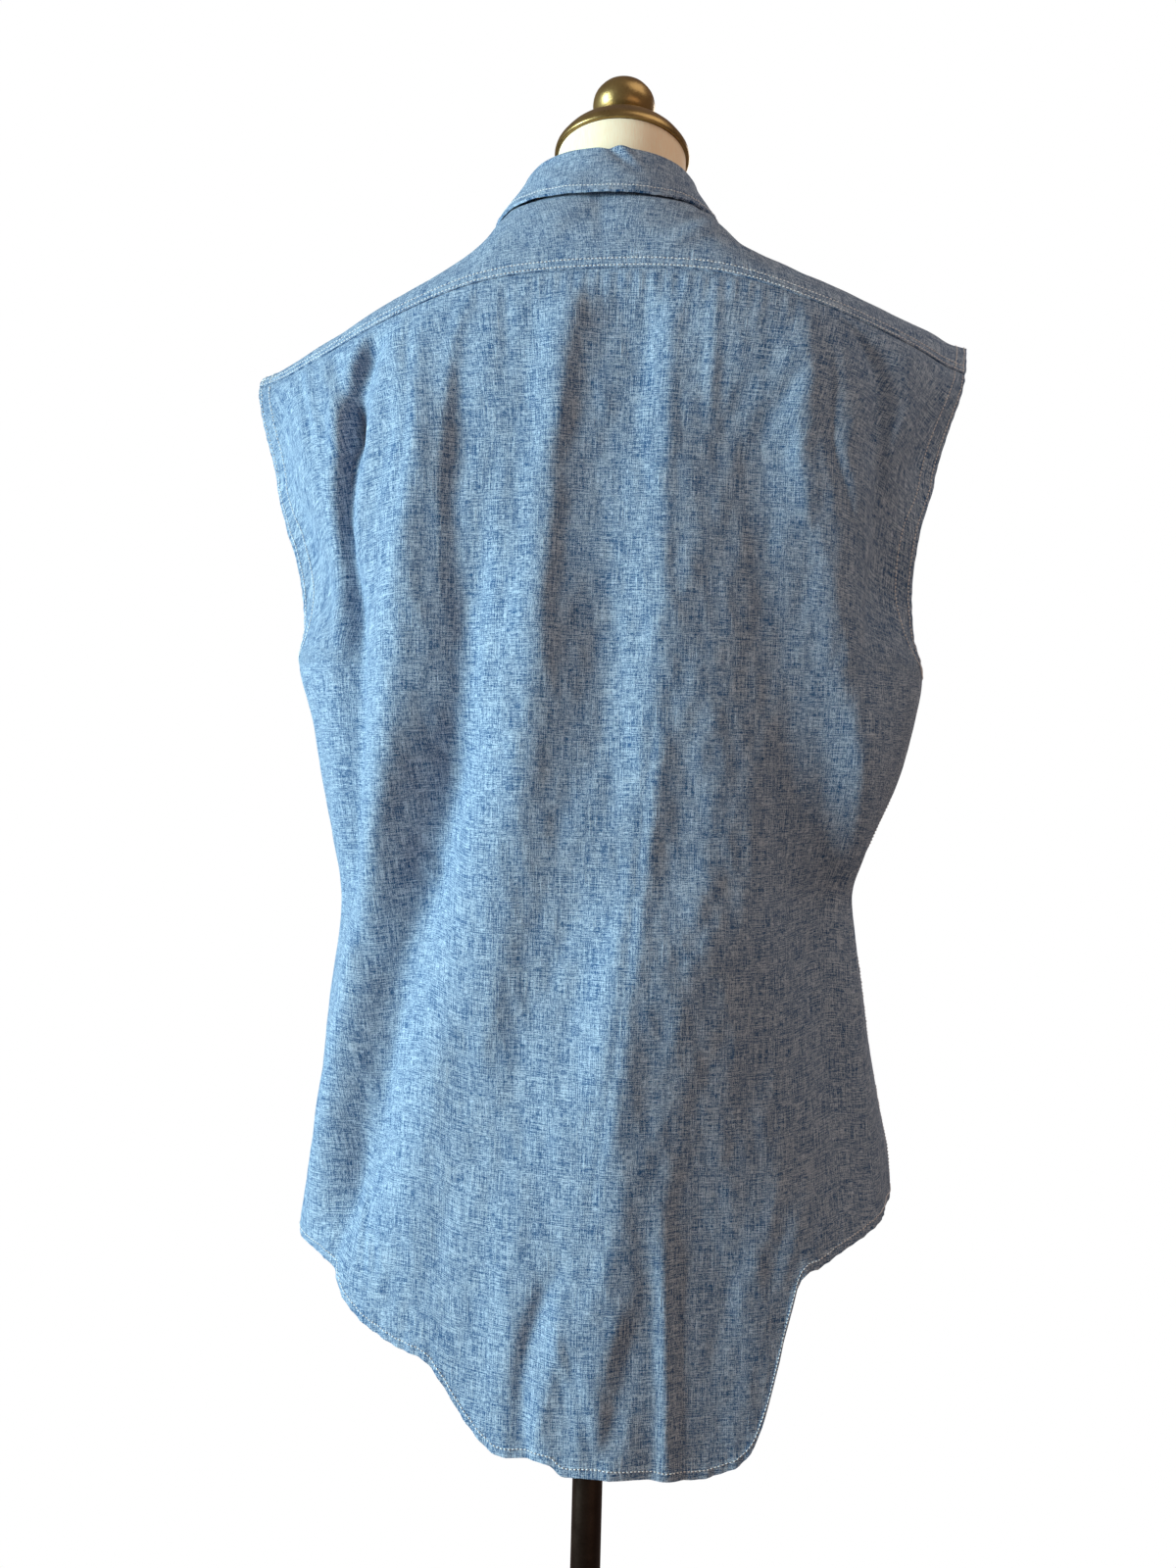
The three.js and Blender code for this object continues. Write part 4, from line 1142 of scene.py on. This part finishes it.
# The bend is a ridge beside a trough, as (depth, place, width). It slants across the fall.
BENDS = [(1.5, -3.5, 5.0), (-1.3, 3.5, 4.0)]
bend_run = fall_run + 9 + (fall_down - 14) * 0.75
bend = sum(depth * np.exp(-(((bend_run - place) / width) ** 2)) for depth, place, width in BENDS)
fall_push = (
    bend * np.exp(-(((fall_down - 15) / 13) ** 2))
    + waves(fall_run, fall_down, seed=51, size=34, depth=0.35, upright=1.0) * smooth((fall_down - 8) / 10)
    + pucker(fall_edge_gap, fall_run, seed=52, depth=0.35, reach=8.0, pitch=8.0)
)
fall_grid = pushed(fall_grid, fall_push)
outside = np.broadcast_to(smooth((fall_levels - 3.6) / 0.6)[:, None], fall_push.shape)
fall_edge = np.maximum(edge_band(fall_edge_gap, FALL_EDGE), edge_band(fall_end_gap, FALL_EDGE)) * outside
fall_map = np.stack([fall_run, -fall_down], -1)
fall_wall = FALL_WALL + FALL_EDGE_EXTRA * fall_edge
collar_fall, *fall_cloth = shell("collar_fall_cloth", fall_grid, fall_map, fall_wall, chambray)
fit(collar_fall, "collar_fall")
inside_ends = np.flatnonzero(fall_end_gap[-1] > FALL_EDGE - 0.6)
leaf_rows = np.flatnonzero((fall_levels > 4.1) & (fall_edge_gap[:, 3] > FALL_EDGE - 0.6))
fall_rows = [stitch_row(*line_by_columns(fall_cloth, fall_edge_gap, FALL_EDGE - 0.8, inside_ends))]
for end_gap in (row_distance(fall_grid, False), row_distance(fall_grid, True)):
    fall_rows.append(stitch_row(*line_by_rows(fall_cloth, end_gap, FALL_EDGE - 0.8, leaf_rows)))
fall_stitches = sewn("collar_fall_stitches", fall_rows)

# ---- placket ----
# Straight strip of chambray down the edge of the left front, turned under at both sides and stitched twice.
# It has six upright buttonholes, worked in white thread.
PLACKET_LIFT = CAD_WALL + LAYER_GAP + 0.1
PLACKET_TURNING = 6.0
PLACKET_TURNING_EXTRA = 0.25
PLACKET_ROW_GAP = 5.4


def outside_front(share, level, lift):
    """Points this far outside a front panel, square to its cloth."""
    low = max(min(level, 2.96) - 0.02, 0)

    def at(shares, height):
        return panel_row("front", shares, np.full(shares.shape, float(height)))[0]

    up = at(share, low + 0.04) - at(share, low)
    across = at(share + 0.02, level) - at(share - 0.02, level)
    return at(share, level) + unit(np.cross(across, up)) * lift


placket_shares = np.linspace(-PLACKET_WIDTH / 2, PLACKET_WIDTH / 2, 29) / EVEN_HALF
placket_levels = spaced([0, 1, 2, 3], [100, 30, 30])
placket_grid = np.array([outside_front(placket_shares, level, PLACKET_LIFT) for level in placket_levels])
placket_up, _, placket_right_gap, placket_left_gap = edge_gaps(placket_grid)
placket_gap = np.minimum(placket_left_gap, placket_right_gap)
placket_across = np.broadcast_to(placket_shares * EVEN_HALF, placket_gap.shape)
placket_push = pucker(placket_gap, placket_up, seed=61, depth=0.12, reach=5.0, pitch=7.0)
placket_grid = pushed(placket_grid, placket_push)
placket_map = np.stack([placket_across, placket_up], -1)
placket_wall = WALL + PLACKET_TURNING_EXTRA * edge_band(placket_gap, PLACKET_TURNING)
placket, *placket_cloth = shell("placket_cloth", placket_grid, placket_map, placket_wall, chambray)
fit(placket, "placket")
placket_rows = [
    stitch_row(*line_by_rows(placket_cloth, side_gap, PLACKET_ROW_GAP))
    for side_gap in (placket_left_gap, placket_right_gap)
]
BUTTON_LEVELS = (2.66, 1.88, 1.4, 0.86, 0.66, 0.46)
BUTTONHOLE_HALF = 6.2
BUTTONHOLE_SIDE = 0.85
BAR_COUNT = 46
BAR_LENGTH = 1.5
BAR_RADIUS = 0.24


def buttonhole(centre, along_way, out):
    """Bars of thread side by side round a slit."""
    across = np.cross(out, along_way)
    turns = np.linspace(0, 2 * math.pi, BAR_COUNT, endpoint=False)
    way = np.clip(np.cos(turns) * 1.35, -1, 1) * BUTTONHOLE_HALF
    aside = np.clip(np.sin(turns) * 1.6, -1, 1) * BUTTONHOLE_SIDE
    places = centre + way[:, None] * along_way + aside[:, None] * across
    bars = np.where((np.abs(np.cos(turns)) > 0.95)[:, None], along_way, across)
    return beads(places, bars, np.broadcast_to(out, places.shape), BAR_LENGTH, BAR_RADIUS)


def placket_frame(level, lift):
    """A place on the placket's middle line, with the ways up and out there."""
    middle = np.zeros(1)
    here = outside_front(middle, level, lift)[0]
    out = unit(outside_front(middle, level, lift + 1)[0] - here)
    above = outside_front(middle, level + 0.02, lift)[0] - here
    return here, unit(above - out * np.dot(above, out)), out


for level in BUTTON_LEVELS:
    hole_place, hole_way, hole_out = placket_frame(level, PLACKET_LIFT + 0.55)
    placket_rows.append(buttonhole(hole_place, hole_way, hole_out))
placket_stitches = sewn("placket_stitches", placket_rows)

# ---- buttons ----
# Seven four-hole shirt buttons of pale pearly resin, one on the stand and six down the front. Each is sewn
# on with two bars of white thread, and all are fastened.
BUTTON_PROFILE = [(0, 0), (4.9, 0), (5.6, 0.8), (5.6, 1.9), (4.6, 2.5), (3.8, 1.9), (0, 1.9)]
BUTTON_LIFT = CAD_WALL / 2 + LAYER_GAP + 0.2
HOLE_OFFSET = 1.35
HOLE_RADIUS = 0.55
TIE_LIFT = 2.0
TIE_LENGTH = 3.4
TIE_RADIUS = 0.42

RESIN_DARK = (0.62, 0.60, 0.55)
RESIN_LIGHT = (0.85, 0.84, 0.80)
button_paint = Paint("button_resin")
button_place = button_paint.place()
swirl = button_paint.noise(button_paint.scaled(button_place, 260, 260, 90), 1.0, 3.0, 0.6)
resin = button_paint.finish(
    Base_Color=button_paint.blend(swirl.step(0.35, 0.65), RESIN_DARK, RESIN_LIGHT),
    Roughness=0.22,
    Coat_Weight=0.4,
    Coat_Roughness=0.1,
    Subsurface_Weight=0.05,
    Subsurface_Scale=0.002,
    Normal=button_paint.bump(swirl, 0.0001, 0.3),
)


def button_mesh():
    """One button with its four holes cut, its back at the origin and its face towards +Z."""
    blank = mesh_piece("button_blank", *turned(rounded(BUTTON_PROFILE, 0.5), 64), resin, sharp=None)
    points, faces, count = [], [], 0
    for x in (-HOLE_OFFSET, HOLE_OFFSET):
        for y in (-HOLE_OFFSET, HOLE_OFFSET):
            hole, hole_faces = turned([(0, -1), (HOLE_RADIUS, -1), (HOLE_RADIUS, 4), (0, 4)], 16)
            points.append(hole + (x, y, 0))
            faces += [[count + i for i in face] for face in hole_faces]
            count += len(hole)
    cutter = mesh_piece("button_cutter", np.concatenate(points), faces, resin, sharp=None)
    cut = blank.modifiers.new("holes", "BOOLEAN")
    cut.object = cutter
    cut.solver = "EXACT"
    graph = bpy.context.evaluated_depsgraph_get()
    made = bpy.data.meshes.new_from_object(blank.evaluated_get(graph))
    for spent in (blank, cutter):
        bpy.data.objects.remove(spent)
    made.polygons.foreach_set("use_smooth", np.ones(len(made.polygons), bool))
    made.set_sharp_from_angle(angle=math.radians(35))
    return made


def add_button(number, place, out):
    """One button in its place, and the two ties of thread over its holes."""
    z = Vector(out)
    turn = z.to_track_quat("Z", "Y").to_matrix().to_4x4()
    piece = bpy.data.objects.new(f"button_{number}_resin", button_shape.copy())
    bpy.context.scene.collection.objects.link(piece)
    piece.data.transform(Matrix.Translation(Vector(place) / 1000) @ turn)
    fit(piece, f"button_{number}")
    axes = np.array(turn.to_3x3()).T
    ties = np.array([place + axes[0] * x + out * TIE_LIFT for x in (-HOLE_OFFSET, HOLE_OFFSET)])
    ahead = np.broadcast_to(axes[1], ties.shape)
    return beads(ties, ahead, np.broadcast_to(out, ties.shape), TIE_LENGTH, TIE_RADIUS)


button_shape = button_mesh()
stand_out = unit(np.array([0, -COLLAR.at("stand", 180.0), COLLAR.at("lean", 180.0)]))
stand_middle = stand_point(np.array([math.pi]), 0.5)[0]
button_rows = [add_button(1, stand_middle + stand_out * BUTTON_LIFT, stand_out)]
for index, level in enumerate(BUTTON_LEVELS):
    place_here, _, out_here = placket_frame(level, PLACKET_LIFT + BUTTON_LIFT)
    button_rows.append(add_button(index + 2, place_here, out_here))
sewn("button_threads", button_rows)

# ---- stage ----
# A pale seamless floor that turns up into a white wall all round, soft window light from the wearer's left,
# and weak fill. None of it is part of the shirt.
STAGE_PROFILE = [(0, -0.5), (3200, -0.5), (3500, 60), (3620, 300), (3650, 700), (3650, 4200), (0, 4200)]
FLOOR_WHITE = (0.86, 0.86, 0.85)
FLOOR_FADE = (0.4, 0.78)


def stage_dome():
    """Floor and wall in one. The floor takes light near the stand and fades into the glow of the wall."""
    paint = Paint("stage_white")
    place = paint.place()
    parts = [paint.node("SeparateXYZ", {}, {0: place}, out=k) for k in (0, 1)]
    radius = (parts[0] * parts[0] + parts[1] * parts[1]) ** 0.5
    far = radius.step(*FLOOR_FADE)
    floor = paint.node("BsdfDiffuse", {}, {"Color": (*FLOOR_WHITE, 1)})
    wall = paint.node("Emission", {}, {"Color": (1, 1, 1, 1), "Strength": 1.0})
    white = paint.surface(paint.node("MixShader", {}, {0: far, 1: floor, 2: wall}))
    dome = mesh_piece("stage_dome", *turned(STAGE_PROFILE, 96), white, sharp=None)
    dome.visible_diffuse = False
    dome.visible_shadow = False
    dome.visible_glossy = False


stage_dome()


def area_light(name, place, target, size, power, colour):
    data = bpy.data.lights.new(name, "AREA")
    data.shape = "RECTANGLE"
    data.size, data.size_y = size
    data.energy = power
    data.color = colour
    light = bpy.data.objects.new(name, data)
    light.location = place
    light.rotation_euler = (Vector(target) - Vector(place)).to_track_quat("-Z", "Y").to_euler()
    bpy.context.scene.collection.objects.link(light)
    return light


area_light("window", (2.25, 1.14, 1.22), (0.0, 0.05, 1.02), (0.9, 1.7), 120, (0.67, 0.92, 1.0))
area_light("fill", (-1.4, 1.7, 0.5), (0.0, 0.05, 1.05), (1.6, 1.0), 6, (1.0, 0.7, 0.52))
area_light("upper_fill", (-0.8, 0.45, 2.3), (-0.2, 0.05, 1.3), (1.0, 1.0), 5, (1.0, 0.9, 0.82))
area_light("front_fill", (-0.6, -2.4, 1.9), (0.0, -0.05, 1.05), (1.8, 1.8), 34, (1.0, 0.98, 0.95))
ROOM_GLOW = (1.0, 0.73, 0.64)
world = bpy.data.worlds.new("room")
world.use_nodes = True
room = world.node_tree.nodes["Background"]
room.inputs["Color"].default_value = (*ROOM_GLOW, 1)
room.inputs["Strength"].default_value = 0.18
bpy.context.scene.world = world
bpy.context.scene.view_settings.view_transform = "Standard"

# ---- camera ----
# Close behind the shirt and level with the waist, set off by CAMERA_TURN to the wearer's right, and leaning
# a little.
CAMERA_TURN = math.radians(5)
CAMERA_ROLL = math.radians(1.5)
CAMERA_AWAY = 0.820
CAMERA_HEIGHT = 1.050
CAMERA_LENS = 27.045
CAMERA_SHIFT = -0.01125
camera_data = bpy.data.cameras.new("camera")
camera_data.sensor_width = 36
camera_data.lens = CAMERA_LENS
camera_data.shift_x = CAMERA_SHIFT
camera_data.clip_start = 0.02
camera = bpy.data.objects.new("camera", camera_data)
camera.location = (-CAMERA_AWAY * math.sin(CAMERA_TURN), CAMERA_AWAY * math.cos(CAMERA_TURN), CAMERA_HEIGHT)
ahead = Vector((math.sin(CAMERA_TURN), -math.cos(CAMERA_TURN), 0))
camera.rotation_mode = "QUATERNION"
roll = Matrix.Rotation(CAMERA_ROLL, 4, "Z").to_quaternion()
camera.rotation_quaternion = ahead.to_track_quat("-Z", "Y") @ roll
bpy.context.scene.collection.objects.link(camera)
bpy.context.scene.camera = camera
